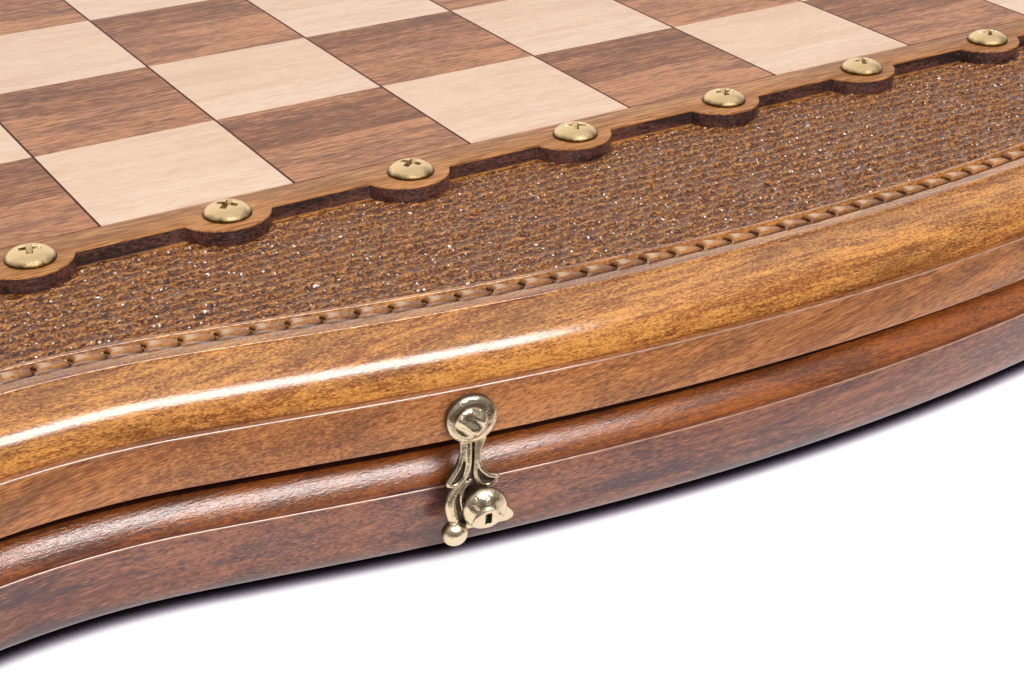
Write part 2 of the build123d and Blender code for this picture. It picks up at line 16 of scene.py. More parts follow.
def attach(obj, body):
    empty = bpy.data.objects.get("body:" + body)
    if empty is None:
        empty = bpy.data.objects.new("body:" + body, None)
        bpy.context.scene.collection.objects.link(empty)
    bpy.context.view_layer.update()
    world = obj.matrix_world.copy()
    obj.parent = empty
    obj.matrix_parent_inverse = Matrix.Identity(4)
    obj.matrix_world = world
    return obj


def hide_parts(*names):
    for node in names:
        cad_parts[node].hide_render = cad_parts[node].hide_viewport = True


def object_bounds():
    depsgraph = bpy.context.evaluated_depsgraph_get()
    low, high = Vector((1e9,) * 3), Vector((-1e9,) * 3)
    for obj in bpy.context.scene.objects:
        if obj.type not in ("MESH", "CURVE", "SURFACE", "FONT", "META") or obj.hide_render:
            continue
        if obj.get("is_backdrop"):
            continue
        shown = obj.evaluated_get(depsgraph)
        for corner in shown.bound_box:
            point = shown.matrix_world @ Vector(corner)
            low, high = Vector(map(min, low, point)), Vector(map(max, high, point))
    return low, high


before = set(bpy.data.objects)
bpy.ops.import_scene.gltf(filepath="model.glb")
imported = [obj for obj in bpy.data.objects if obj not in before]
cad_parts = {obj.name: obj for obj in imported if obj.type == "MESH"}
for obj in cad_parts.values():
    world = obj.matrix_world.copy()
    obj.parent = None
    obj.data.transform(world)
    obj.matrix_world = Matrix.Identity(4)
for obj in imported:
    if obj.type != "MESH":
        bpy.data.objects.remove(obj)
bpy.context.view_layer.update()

# %% [markdown]
# ## The camera
# The box is seen from above, close to the left end of its front. Blender's camera looks along its
# own -Z with +Y up, so its matrix holds the picture's right, up and backward directions as columns.
# They are written out because a camera found by measuring is more exact than one turned by eye.

# %% Camera
right = (0.85811935, -0.51343709, -0.00367916)
up = (0.24381294, 0.40116315, 0.88296284)
backward = (-0.45186993, -0.75858452, 0.46942847)
camera = bpy.data.objects.new("camera", bpy.data.cameras.new("camera"))
bpy.context.scene.collection.objects.link(camera)
turn = Matrix((right, up, backward)).transposed().to_4x4()
camera.matrix_world = Matrix.Translation((-0.24047, -0.52711, 0.21265)) @ turn
camera.data.sensor_width = 36.0
camera.data.lens = 64.126
camera.data.clip_start = 0.01
bpy.context.scene.camera = camera
print("lens", camera.data.lens, "mm")

# %% [markdown]
# ## Helpers for node trees
# A finish and a repeated shape are both node trees, and both are easier to read as code when one
# function adds a node, gives it its settings and links what feeds it. Colours are written as the hex
# codes that a paint chart uses, and a second function turns them into the linear values that a
# shader wants.

# %% Colours and nodes
def colour(code):
    """sRGB hex code to the linear colour that a shader takes."""
    parts = [int(code[i : i + 2], 16) / 255 for i in (0, 2, 4)]
    return [c / 12.92 if c <= 0.04045 else ((c + 0.055) / 1.055) ** 2.4 for c in parts] + [1.0]


def add(tree, kind, inputs=None, stops=None, **settings):
    """Adds a node. An input is a value, a socket to link from, or a node for its first socket."""
    node = tree.nodes.new(kind)
    for name, value in settings.items():
        setattr(node, name, value)
    for name, value in (inputs or {}).items():
        if isinstance(value, bpy.types.Node):
            value = value.outputs[0]
        if isinstance(value, bpy.types.NodeSocket):
            tree.links.new(value, node.inputs[name])
        else:
            node.inputs[name].default_value = value
    if stops:
        ramp = node.color_ramp.elements
        while len(ramp) < len(stops):
            ramp.new(0.5)
        for element, (place, shade_there) in zip(ramp, stops):
            element.position = place
            element.color = shade_there
    return node


def shader_tree(data):
    """Empty node tree of a material or a world."""
    data.use_nodes = True
    data.node_tree.nodes.clear()
    return data.node_tree


print("white is", colour("FFFFFF")[:3])

# %% [markdown]
# ## The room round the box
# Lacquer and brass show what is round them more than what they are. The world is a pale room with a
# bright ceiling, brighter behind the box than behind the camera, so that a dome of brass has light
# and dark sides. A picture of a room would do this too, but two ramps over the direction are enough
# and stay editable. The camera sees plain white instead, and so does a ray through glass or one that
# a polished face throws towards the back. Light Path tells these rays apart, so that the white
# background adds no light to the box. The view transform is Standard: a colour then renders about as
# it is written.

# %% World
world = bpy.data.worlds.new("studio")
bpy.context.scene.world = world
bpy.context.scene.view_settings.view_transform = "Standard"
tree = shader_tree(world)
path = add(tree, "ShaderNodeLightPath")
way = add(tree, "ShaderNodeSeparateXYZ", {0: add(tree, "ShaderNodeTexCoord").outputs["Generated"]})
ceiling = add(
    tree,
    "ShaderNodeMapRange",
    {"Value": way.outputs["Z"], "From Min": 0.45, "From Max": 0.8, "To Min": 0.3, "To Max": 0.8},
)
back_wall = add(
    tree,
    "ShaderNodeMapRange",
    {"Value": way.outputs["Y"], "From Min": 0.0, "From Max": 0.6, "To Min": 0.3, "To Max": 0.85},
)
room = add(tree, "ShaderNodeMath", {0: ceiling, 1: back_wall}, operation="MAXIMUM")
plain = add(tree, "ShaderNodeBackground", {"Color": colour("FBFCFF"), "Strength": room})
white = add(tree, "ShaderNodeBackground", {"Color": colour("FFFFFF"), "Strength": 1.0})
back = add(tree, "ShaderNodeMapRange", {"Value": way.outputs["Y"], "From Min": 0.35, "From Max": 0.9})
mirrored = add(tree, "ShaderNodeMath", {0: path.outputs["Is Glossy Ray"], 1: back}, operation="MULTIPLY")
rays = {0: path.outputs["Is Camera Ray"], 1: path.outputs["Is Transmission Ray"]}
direct = add(tree, "ShaderNodeMath", rays, operation="MAXIMUM")
seen = add(tree, "ShaderNodeMath", {0: direct, 1: mirrored}, operation="MAXIMUM")
either = add(tree, "ShaderNodeMixShader", {0: seen, 1: plain, 2: white})
add(tree, "ShaderNodeOutputWorld", {"Surface": either})
print("world nodes:", len(tree.nodes))

# %% [markdown]
# ## One long softbox
# The line of light along a lacquered moulding is the mirror image of a lamp. A square lamp would
# give a blot, so the softbox is twice as long as high and hangs in front, level with the part of the
# front that is nearest. Moving it up or down slides the bright line over the bead, which is how its
# height was found. Its place is given as an angle and a distance, as one walks a lamp round a table.

# %% Softbox
front_moulding = Vector((-0.1, -0.24, 0.04))


def around(azimuth, elevation, reach):
    """Point at a distance from the front moulding; azimuth 0 is +X and -90 is the front."""
    a, e = radians(azimuth), radians(elevation)
    return front_moulding + Vector((cos(a) * cos(e), sin(a) * cos(e), sin(e))) * reach


lamp = bpy.data.lights.new("softbox", "AREA")
lamp.shape, lamp.size, lamp.size_y, lamp.energy = "RECTANGLE", 1.0, 0.5, 18
softbox = bpy.data.objects.new("softbox", lamp)
bpy.context.scene.collection.objects.link(softbox)
softbox.location = around(-91, 41, 1.5)
softbox.rotation_euler = (front_moulding - softbox.location).to_track_quat("-Z", "Y").to_euler()
print("softbox", [round(v, 3) for v in softbox.location])

# %% [markdown]
# ## White paper under the box
# The box stands on a sheet of white paper that is only a little larger than itself, on a darker
# table. To the camera the paper goes on for ever: it is lifted to pure white except close to the
# box, where ambient occlusion, measured over a few millimetres, paints a shadow into the paper's
# colour and holds down its glow: a thin dark line at the box's foot that fades out. Polished faces see
# the same lift over the paper and see the table past its edge, which is what keeps the low lacquered
# sides from looking milky.

# %% Floor
far = 8
floor_mesh = bpy.data.meshes.new("floor")
corners = [(-far, -far, 0), (far, -far, 0), (far, far, 0), (-far, far, 0)]
floor_mesh.from_pydata(corners, [], [(0, 1, 2, 3)])
floor = bpy.data.objects.new("floor", floor_mesh)
bpy.context.scene.collection.objects.link(floor)
floor.location.z = -0.0002

# Uncoated white paper: flat and matt with no shine. Near the box ambient occlusion darkens its colour, a
# painted shadow.
paper_white, table = colour("F4F4F5"), colour("564E4A")
floor_paint = bpy.data.materials.new("matt white paper")
tree = shader_tree(floor_paint)
# painted shadow: by ambient occlusion the paper's colour turns dark right next to the box and fades back to
# white
near = add(tree, "ShaderNodeAmbientOcclusion", {"Distance": 0.0045}, samples=8).outputs["AO"]
painted_shadow_stops = [(0.35, colour("120E16")), (0.6, colour("B8ACC0")), (0.8, paper_white)]
painted_contact_shadow = add(tree, "ShaderNodeValToRGB", {"Fac": near}, stops=painted_shadow_stops)
place = add(tree, "ShaderNodeTexCoord").outputs["Object"]
from_middle = add(tree, "ShaderNodeVectorMath", {0: place}, operation="ABSOLUTE")
parts = add(tree, "ShaderNodeSeparateXYZ", {0: from_middle})
reach = add(tree, "ShaderNodeMath", {0: parts.outputs["X"], 1: parts.outputs["Y"]}, operation="MAXIMUM")
paper_edge, table_starts = 0.275, 0.32
past_edge = {"Value": reach, "From Min": paper_edge, "From Max": table_starts}
past_edge = add(tree, "ShaderNodeMapRange", past_edge)
rays = add(tree, "ShaderNodeLightPath").outputs
far_gloss = add(tree, "ShaderNodeMath", {0: past_edge, 1: rays["Is Glossy Ray"]}, operation="MULTIPLY")
tone = add(tree, "ShaderNodeMix", {"Factor": far_gloss, 6: paper_white, 7: table}, data_type="RGBA")
to_camera = {"Factor": rays["Is Camera Ray"], 6: tone.outputs[2], 7: painted_contact_shadow.outputs["Color"]}
tone = add(tree, "ShaderNodeMix", to_camera, data_type="RGBA")
paper = add(tree, "ShaderNodeBsdfDiffuse", {"Color": tone.outputs[2]})
# near the box the glow is held down too, so that the painted shadow stays dark
open_floor = {"Value": near, "From Min": 0.5, "From Max": 0.85, "To Max": 0.35}
open_floor = add(tree, "ShaderNodeMapRange", open_floor)
near_gloss = add(tree, "ShaderNodeMath", {0: rays["Is Glossy Ray"], 1: far_gloss}, operation="SUBTRACT")
seen = {0: rays["Is Camera Ray"], 1: rays["Is Transmission Ray"]}
seen = add(tree, "ShaderNodeMath", seen, operation="MAXIMUM")
seen = add(tree, "ShaderNodeMath", {0: seen, 1: near_gloss}, operation="MAXIMUM")
lift = add(tree, "ShaderNodeMath", {0: seen, 1: open_floor}, operation="MULTIPLY")
glow = add(tree, "ShaderNodeEmission", {"Color": colour("FFFFFF"), "Strength": lift})
lit = add(tree, "ShaderNodeAddShader", {0: paper, 1: glow})
add(tree, "ShaderNodeOutputMaterial", {"Surface": lit})
floor.data.materials.append(floor_paint)
floor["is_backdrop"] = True
print("floor nodes:", len(tree.nodes))

# %% [markdown]
# ## Stained and lacquered beech
# The frame, the strip and the mouldings are steamed beech, stained brown and sprayed with gloss
# lacquer. Beech has a quiet figure: broad soft bands, fine fibres and short dark flecks, which are
# its rays cut end on. A flat picture of wood would repeat and could not follow a routed edge, so the
# colour is a solid pattern in 3-D, as the real one is: noise stretched along the grain, cut by
# whatever surface there is. Every layer's size is the real one in millimetres, turned into a scale by
# one division. The lacquer is the shader's coat, and the fibres under it raise it a little, which
# breaks up the line of light.

# %% What may differ from one finish to the next
plain_wood = {
    "tilt": 0.0,  # degrees between the fibres and the plank's length
    "streaks": (13, 1.1),  # length and width of a bundle of fibres in mm
    "fine": (3.0, 0.55),  # length and width of a fleck in mm
    "contrast": 1.0,  # between the pale and the deep tone
    "clouds": 0.4,  # most that a cloud of stain darkens
    "flecks": 0.4,  # most that a fleck darkens
    "rays": 0.0,  # most that a ray cut lengthwise shines out
    "bump": 0.3,  # how far the fibres raise the surface
    "gloss": 0.35,  # roughness of the wood itself
    "coat": 0.6,  # how well the lacquer covers it
    "coat_rough": 0.1,  # roughness of the lacquer
    "coat_ior": 1.45,  # from 1.45 for one thin coat up to 2.3 for an edge where it pools
}


def per_metre(along, across):
    """Mapping scale for features of that length and width in millimetres; the grain is along X."""
    return (1000 / along, 1000 / across, 1000 / across)


print("a band of figure 150 x 13 mm is", [round(v, 1) for v in per_metre(150, 13)], "to the metre")

# %% [markdown]
# ## One recipe for all the beech
# The recipe follows the maker's order. First the wood: five layers of noise, from the broad figure to
# the pores. Their sum runs from a pale tone to a deep one. Then the stain, which clouds it and fills
# the flecks. Last the lacquer, over a surface that the fibres have raised.

# %% Beech
def wood(name, pale, deep, cloud, grain="X", squares=False, **changes):
    """Beech with its figure, fibres, clouds of stain and flecks under a coat of lacquer."""
    look = {**plain_wood, **changes}
    paint = bpy.data.materials.new(name)
    tree = shader_tree(paint)
    place, toned = add(tree, "ShaderNodeTexCoord").outputs["Object"], 0.0
    if squares:
        place, toned = glued_strips(tree, place)
    tilt = radians(look["tilt"])
    rotation = (0, tilt, 0) if grain == "X" else (tilt, 0, pi / 2)
    lengthwise = add(tree, "ShaderNodeMapping", {"Vector": place, "Rotation": rotation})
    # each layer: (length, width) in mm, detail, distortion, roughness of the noise
    layers = {
        "figure": ((150, 13), 3.0, 0.5, 0.55),
        "fibres": (look["streaks"], 4.0, 0.2, 0.7),
        "speckle": (look["fine"], 2.0, 0.0, 0.6),
        "pores": ((look["fine"][0] * 1.5, look["fine"][1]), 2.0, 0.0, 0.55),
        "patches": ((34, 6), 3.0, 0.5, 0.55),
    }
    if look["rays"]:
        layers["rays"] = ((0.9, 5), 2.0, 0.4, 0.55)
    grown = {}
    for layer, (size, detail, distortion, rough) in layers.items():
        scaled = add(tree, "ShaderNodeMapping", {"Vector": lengthwise, "Scale": per_metre(*size)})
        shape = {"Scale": 1.0, "Detail": detail, "Distortion": distortion, "Roughness": rough}
        grown[layer] = add(tree, "ShaderNodeTexNoise", {"Vector": scaled, **shape})

    soft = {0: grown["figure"], 1: 0.6, 2: grown["fibres"]}
    soft = add(tree, "ShaderNodeMath", soft, operation="MULTIPLY_ADD")
    bands = add(tree, "ShaderNodeMath", {0: grown["speckle"], 1: 0.9, 2: soft}, operation="MULTIPLY_ADD")
    bands = add(tree, "ShaderNodeMath", {0: bands, 1: toned}, operation="ADD")
    half = 0.24 / look["contrast"]
    depth = {"Value": bands, "From Min": 1.25 - half, "From Max": 1.25 + half}
    depth = add(tree, "ShaderNodeMapRange", depth)
    tone = {"Factor": depth, 6: colour(pale), 7: colour(deep)}
    tone = add(tree, "ShaderNodeMix", tone, data_type="RGBA").outputs[2]

    misty = {0: grown["speckle"], 1: 0.55, 2: grown["patches"]}
    misty = add(tree, "ShaderNodeMath", misty, operation="MULTIPLY_ADD")
    marks = [(misty, 0.72, 0.92, look["clouds"], cloud), (grown["pores"], 0.56, 0.72, look["flecks"], cloud)]
    if look["rays"]:
        marks.append((grown["rays"], 0.7, 0.8, look["rays"], "F2B678"))
    for layer, start, full, most, code in marks:
        share = {"Value": layer, "From Min": start, "From Max": full, "To Max": most}
        share = add(tree, "ShaderNodeMapRange", share)
        marked = {"Factor": share, 6: tone, 7: colour(code)}
        tone = add(tree, "ShaderNodeMix", marked, data_type="RGBA").outputs[2]

    relief = {0: grown["speckle"], 1: 0.7, 2: grown["fibres"]}
    relief = add(tree, "ShaderNodeMath", relief, operation="MULTIPLY_ADD")
    raised = add(tree, "ShaderNodeBump", {"Height": relief, "Distance": 0.0001, "Strength": look["bump"]})
    surface = {
        "Base Color": tone,
        "Roughness": look["gloss"],
        "IOR": 1.5,
        "Specular IOR Level": 0.2,
        "Normal": raised,
        "Coat Weight": look["coat"],
        "Coat Roughness": look["coat_rough"],
        "Coat IOR": look["coat_ior"],
        "Coat Normal": raised,
    }
    surface = add(tree, "ShaderNodeBsdfPrincipled", surface)
    add(tree, "ShaderNodeOutputMaterial", {"Surface": surface})
    return paint


print("tones and sizes that a finish may change:", sorted(plain_wood))

# %% [markdown]
# ## Squares sawn from glued strips
# Playing squares are not 64 lone blocks. Strips of wood are glued side by side, and the squares are
# sawn from the sheet, so a glue line crosses each square at a height of its own, and the grain and
# tone change there. The pattern's coordinates are read in squares, a white noise of one number per
# strip places the glue line, and everything past it is shifted through the solid pattern, as if it
# came from another tree.

# %% Grain of a glued strip
def glued_strips(tree, place):
    """Coordinates that jump at each glue line, and how much darker or paler the strip is."""
    square, before_first = 45, 4.0
    parts = add(tree, "ShaderNodeSeparateXYZ", {0: place})
    counted = []
    for axis in ("X", "Y"):
        squares_in = {0: parts.outputs[axis], 1: 1000 / square, 2: before_first}
        counted.append(add(tree, "ShaderNodeMath", squares_in, operation="MULTIPLY_ADD"))
    column, row = (add(tree, "ShaderNodeMath", {0: count}, operation="FLOOR") for count in counted)
    odd = add(tree, "ShaderNodeMath", {0: column, 1: 2.0}, operation="MODULO")
    strip = add(tree, "ShaderNodeMath", {0: row, 1: odd}, operation="ADD")
    chance = add(tree, "ShaderNodeTexWhiteNoise", {"W": strip}, noise_dimensions="1D").outputs["Value"]
    glue_line = add(tree, "ShaderNodeMath", {0: chance, 1: 0.35, 2: 0.25}, operation="MULTIPLY_ADD")
    inside = add(tree, "ShaderNodeMath", {0: counted[1]}, operation="FRACT")
    past = add(tree, "ShaderNodeMath", {0: inside, 1: glue_line}, operation="GREATER_THAN")
    board = add(tree, "ShaderNodeMath", {0: strip, 1: 2.0, 2: past}, operation="MULTIPLY_ADD")
    shift = {0: board, 1: 0.137, 2: parts.outputs["Z"]}
    shift = add(tree, "ShaderNodeMath", shift, operation="MULTIPLY_ADD")
    moved = {"X": parts.outputs["X"], "Y": parts.outputs["Y"], "Z": shift}
    moved = add(tree, "ShaderNodeCombineXYZ", moved)
    toned = add(tree, "ShaderNodeMath", {0: past, 1: 0.2, 2: -0.12}, operation="MULTIPLY_ADD")
    return moved.outputs[0], toned.outputs[0]


print("a strip covers 45 mm of board")

# %% [markdown]
# ## The frame's finishes
# All these woods are the same beech. What changes is how much stain the maker wiped on, how many
# coats of lacquer were sprayed, and how the surface was cut. Wood that runs across the box needs its
# grain turned, so each is made twice, along X and along Y. Flecks are drawn no finer than a quarter
# of a millimetre, because finer ones would vanish between two pixels and leave a flat brown.

# %% Frame finishes
finishes = {}
for way in ("X", "Y"):
    # Golden stain on a routed and sanded moulding, filled with gloss lacquer: a wet, deep shine
    # with one sharp line of light, and short pale dashes where the rays are cut lengthwise.
    finishes["moulding", way] = wood(
        "gloss stained beech moulding " + way, "DC9646", "8C4A14", "4C240C", way,
        flecks=0.65, contrast=1.45, gloss=0.4, coat=1.0, rays=0.35, fine=(0.9, 0.28), coat_ior=1.72,
    )
    # The same stain on a sawn and scraped side under one thin coat: long fibres that slant a
    # little, many dark flecks, and only a dull gleam.
    finishes["lid side", way] = wood(
        "stained beech lid side " + way, "C4804A", "8C522A", "4E302A", way,
        tilt=9, clouds=0.45, flecks=0.8, contrast=1.5, gloss=0.5, coat=0.7,
        fine=(2.6, 0.22), streaks=(12, 0.5),
    )
    # Planed and oiled rather than lacquered: a warm matt brown without any mirror.
    finishes["strip", way] = wood(
        "oiled beech strip " + way, "D09058", "98602E", "6C3C1C", way,
        clouds=0.35, flecks=0.6, contrast=1.3, gloss=0.5, coat=0.12, fine=(5.0, 0.5),
    )
    # Dark stain over a rounded bead, lacquer brushed on thick: amber where light comes
    # through it, nearly black in the hollows, and a broad soft highlight with brush marks.
    finishes["base bead", way] = wood(
        "dark stained beech bead " + way, "B4600C", "723202", "240C02", way,
        clouds=0.5, gloss=0.45, coat=1.0, coat_rough=0.26, bump=1.0, fine=(1.6, 0.28), coat_ior=1.9,
    )
    # The darkest stain, taken up in clouds by a planed side: violet-brown patches between redder
    # wood, under a coat that mirrors the paper.
    finishes["base side", way] = wood(
        "dark stained beech side " + way, "9E6244", "6A3A2A", "36242E", way,
        tilt=3, clouds=0.75, flecks=0.8, contrast=1.5, gloss=0.42, coat=1.0, coat_rough=0.15,
        fine=(2.5, 0.26), coat_ior=1.55, streaks=(26, 1.0),
    )
    # Painted highlight: the rounded edge is given a paler colour than the wood beside it, so that it
    # shows as a hair-thin bright line. Its high index stands for the thick coat.
    finishes["arris", way] = wood(
        "lacquer built up on an arris " + way, "C8987A", "A87858", "7C503A", way,
        coat=1.0, coat_rough=0.13, bump=0.0, coat_ior=2.3,
    )
# Painted shade on the strip's upright sides: a violet-black colour under lacquer, for the shade along
# the strip's edge, with a broken, greasy shine.
finishes["burnt"] = wood(
    "burnt and lacquered beech edge", "6A4238", "382220", "161214",
    clouds=0.8, flecks=0.6, contrast=1.6, gloss=0.4, coat=0.8, bump=0.8, fine=(1.2, 0.4),
)
# Painted shade: the seam between lid and base is coloured nearly black, without lacquer, for the shadow
# under the lid.
finishes["neck"] = wood("unlacquered neck in the seam", "4A2414", "2C120A", "140806", gloss=0.7, coat=0.0)
print(len(finishes), "finishes of the frame")

# %% [markdown]
# ## The board's and the case's finishes
# The squares are rubbed with oil and wax, not sprayed, so that pieces don't slide: they have nearly
# no coat. The wood inside the case was never stained.

# %% Board and case finishes
# Stained beech rubbed with wax: soft brown with long fibres, a glue line and no mirror.
finishes["dark square"] = wood(
    "waxed dark stained beech squares", "CE8E64", "8A5634", "5E3A32", squares=True,
    clouds=0.55, flecks=0.75, contrast=1.45, gloss=0.5, coat=0.1, fine=(3.4, 0.4), streaks=(16, 0.8),
)
# Bare beech under wax: pinkish cream, with its flecks just visible.
finishes["light square"] = wood(
    "waxed natural beech squares", "F2D2B6", "E8C2A2", "CFA286", squares=True,
    clouds=0.3, flecks=0.5, contrast=0.8, gloss=0.5, coat=0.1, fine=(4.0, 0.55),
)
# Dyed veneer set on edge: a dark matt line between two columns.
finishes["inlay"] = wood("dyed veneer line", "6A3020", "481E12", "2A120A", "Y", gloss=0.6, coat=0.0)
# Rotary-cut birch: pale, even and dull, as the underside of a panel is left.
finishes["plywood"] = wood("sanded birch plywood", "D9B98C", "C6A272", "9C7446", gloss=0.5, coat=0.1)
# Planed beech with one thin coat: clean and pale, with a slight gleam along the thin top edges.
for key, way in (("divider", "X"), (("divider", "Y"), "Y")):
    name = "planed beech divider " + way
    finishes[key] = wood(name, "C79A6A", "AA7A4A", "7C5028", way, gloss=0.45, coat=0.2)
print(len(finishes), "wood finishes")

# %% [markdown]
# ## Brass
# The clasps are cast in sand, the screws are turned and the hinges are rolled. All are yellow brass
# that was dipped in a dark patina and then rubbed: the hollows stay brown and matt, and the high
# places shine. A noise in the shader can't know which place is high, and ambient occlusion would
# darken a dome's whole side, so each mesh carries an attribute that says how far it is rubbed, worked
# out from its height and from which way it faces.

# %% Brass with a rubbed patina
def brass(name, bright, dull, rough, grit=1.2, dents=0.00006, rubbed=None):
    """Brass; where rubbed is None, the mesh's own attribute says how far its patina is worn off."""
    paint = bpy.data.materials.new(name)
    tree = shader_tree(paint)
    place = add(tree, "ShaderNodeTexCoord").outputs["Object"]
    cloud = add(tree, "ShaderNodeTexNoise", {"Vector": place, "Scale": 1000 / grit, "Detail": 4.0})
    if rubbed is None:
        rubbed = add(tree, "ShaderNodeAttribute", attribute_name="rubbed").outputs["Fac"]
    uneven = add(tree, "ShaderNodeMath", {0: cloud, 1: 0.9, 2: rubbed}, operation="MULTIPLY_ADD")
    worn = add(tree, "ShaderNodeMapRange", {"Value": uneven, "From Min": 0.6, "From Max": 1.3})
    tone = add(tree, "ShaderNodeMix", {"Factor": worn, 6: colour(dull), 7: colour(bright)}, data_type="RGBA")
    fine = {"Value": cloud, "From Min": 0.35, "From Max": 0.65}
    fine.update({"To Min": rough * 0.7, "To Max": rough * 1.5})
    fine = add(tree, "ShaderNodeMapRange", fine)
    matt = add(tree, "ShaderNodeMapRange", {"Value": worn, "To Min": 2.6, "To Max": 1.0})
    polish = add(tree, "ShaderNodeMath", {0: fine, 1: matt}, operation="MULTIPLY")
    raised = add(tree, "ShaderNodeBump", {"Height": cloud, "Distance": dents, "Strength": 0.5})
    surface = {"Base Color": tone.outputs[2], "Metallic": 1.0, "Roughness": polish, "Normal": raised}
    surface = add(tree, "ShaderNodeBsdfPrincipled", surface)
    add(tree, "ShaderNodeOutputMaterial", {"Surface": surface})
    return paint


def rub(mesh, low, high):
    """Stores how far each point is rubbed bright: high places that face outwards, and no others."""
    spots = np.zeros(len(mesh.vertices) * 3, np.float32)
    mesh.vertices.foreach_get("co", spots)
    faced = np.zeros_like(spots)
    mesh.vertices.foreach_get("normal", faced)
    height = np.clip((spots[2::3] - low) / (high - low), 0, 1)
    facing = np.clip((faced[2::3] - 0.1) / 0.5, 0, 1)
    mesh.attributes.new("rubbed", "FLOAT", "POINT").data.foreach_set("value", height * facing)
    return mesh


# Turned and waxed yellow brass, dark only in the recess: clear gold mirrors of lamp and board.
finishes["screw brass"] = brass("turned yellow brass", "F4D09C", "5C4420", 0.2, 2.0, 0.0003)
# Sand-cast brass with a rubbed brown patina: pale worn crests, dull hollows, dents all over.
finishes["cast brass"] = brass("cast brass with rubbed patina", "E4CEAC", "6E6256", 0.2, 1.8, 0.0005)
# Rolled sheet as it left the mill, evenly tarnished: duller and yellower than the clasps.
finishes["hinge brass"] = brass("rolled tarnished brass", "CDA552", "7A5E2A", 0.3, rubbed=0.7)
print(len(finishes), "finishes with brass")

# %% [markdown]
# ## Felt
# Needle felt is a mat of tangled wool without any thread. The loose ends of its hairs catch light at
# a low angle, which a little sheen imitates. Single hairs of 0.02 mm can't be seen from here, so the
# fuzz is drawn as tufts of 0.8 mm.

# %% Felt
# Dyed wool, needled into a mat: soft deep green, mottled, with no shine but a pale bloom.
finishes["felt"] = bpy.data.materials.new("green needle felt")
tree = shader_tree(finishes["felt"])
place = add(tree, "ShaderNodeTexCoord").outputs["Object"]
fuzz = {"Vector": place, "Scale": 1000 / 0.8, "Detail": 5.0, "Roughness": 0.7}
fuzz = add(tree, "ShaderNodeTexNoise", fuzz)
mottle = add(tree, "ShaderNodeTexNoise", {"Vector": place, "Scale": 1000 / 14, "Detail": 3.0})
blend = add(tree, "ShaderNodeMath", {0: fuzz, 1: mottle}, operation="MULTIPLY")
greens = [(0.1, colour("14301C")), (0.45, colour("2C5636"))]
tone = add(tree, "ShaderNodeValToRGB", {"Fac": blend}, stops=greens)
raised = add(tree, "ShaderNodeBump", {"Height": fuzz, "Distance": 0.0003, "Strength": 0.6})
surface = {"Base Color": tone, "Roughness": 0.95, "Normal": raised}
surface.update({"Sheen Weight": 0.4, "Sheen Roughness": 0.5})
surface = add(tree, "ShaderNodeBsdfPrincipled", surface)
add(tree, "ShaderNodeOutputMaterial", {"Surface": surface})
print(len(finishes), "finishes in all so far")

# %% [markdown]
# ## The plan line of a side
# All four sides follow one line: a shallow bulge in the middle, a hollow waist at both ends and a
# rounded corner. The line is three kinds of arc and a short straight run. A station is a point on it
# with the direction that points out of the box, so a line moved in by any inset comes from the same
# stations. This is what lets one profile be swept round the box without drawing the path again.

# %% Measures of the plan line
MM = 0.001
half_field = 180.0
side_half = 267.2
bulge_radius, flank_length, waist_radius, corner_radius = 547.0, 30.7, 122.7, 36.0
waist_x = half_field - 11.5
radii = bulge_radius + waist_radius
bulge_turn = asin(waist_x / hypot(radii, flank_length)) - atan2(flank_length, radii)
waist_half = side_half - radii * (1 - cos(bulge_turn)) - flank_length * sin(bulge_turn)
waist_y = -waist_half - waist_radius
corner_reach = waist_radius + corner_radius
corner_turn = asin((-waist_y - waist_x) / (sqrt(2) * corner_reach)) - pi / 4
corner_x = waist_x + corner_reach * sin(corner_turn)
print("bulge turns", round(bulge_turn, 4), "waist half", round(waist_half, 2), "mm")

# %% [markdown]
# ## Stations along the line
# Only the left half of the front is worked out, and the right half is its mirror image. The waist's
# centre lies outside the box, so on that arc the direction out of the box points at the centre.

# %% Stations
def arc_stations(centre, radius, sense, start, end, step):
    """Points and outward directions on an arc; sense is 1 where the centre is inside the box."""
    count = max(2, int(abs(end - start) * radius / step) + 1)
    angles = np.linspace(start, end, count)
    outward = np.column_stack((np.cos(angles), np.sin(angles)))
    return np.array(centre) + sense * radius * outward, outward


def side_stations(step=5.0):
    """Stations of the front side in millimetres, from its left mitre to its right one."""
    front = -pi / 2
    mitre, waist_start, flank_start = front - pi / 4, front + corner_turn, front - bulge_turn
    corner = arc_stations((-corner_x, -corner_x), corner_radius, 1, mitre, waist_start, step / 2)
    waist = arc_stations((-waist_x, waist_y), waist_radius, -1, waist_start, flank_start, step)
    bulge = arc_stations((0, bulge_radius - side_half), bulge_radius, 1, flank_start, front, step)
    share = np.linspace(0, 1, max(2, int(flank_length / step) + 1))[:, None]
    flank = waist[0][-1] + (bulge[0][0] - waist[0][-1]) * share
    runs = (corner, waist, (flank, np.repeat(waist[1][-1:], len(flank), 0)), bulge)
    points, outward = (np.vstack([run[k] for run in runs]) for k in (0, 1))
    points = np.vstack((points, points[::-1] * (-1, 1)))
    outward = np.vstack((outward, outward[::-1] * (-1, 1)))
    gap = np.linalg.norm(np.diff(points, axis=0), axis=1)
    keep = np.concatenate(([True], gap > 0.05))
    return points[keep], outward[keep]


points, outward = side_stations()
print(len(points), "stations; the corner reaches", round(-points[0, 0], 2), "mm")

# %% [markdown]
# ## Sections with rounded corners
# No arris of a lacquered plank is perfectly sharp. It is rounded by a few tenths of a millimetre, and
# that radius is what catches the thin bright line along each edge, so a corner of a section may be
# given one. Blender's Bevel could do it afterwards, but not a different radius for each corner, so
# the corners are rounded while the section is still a list of points. A round stretch, such as a
# bead, is given by three points on its circle.

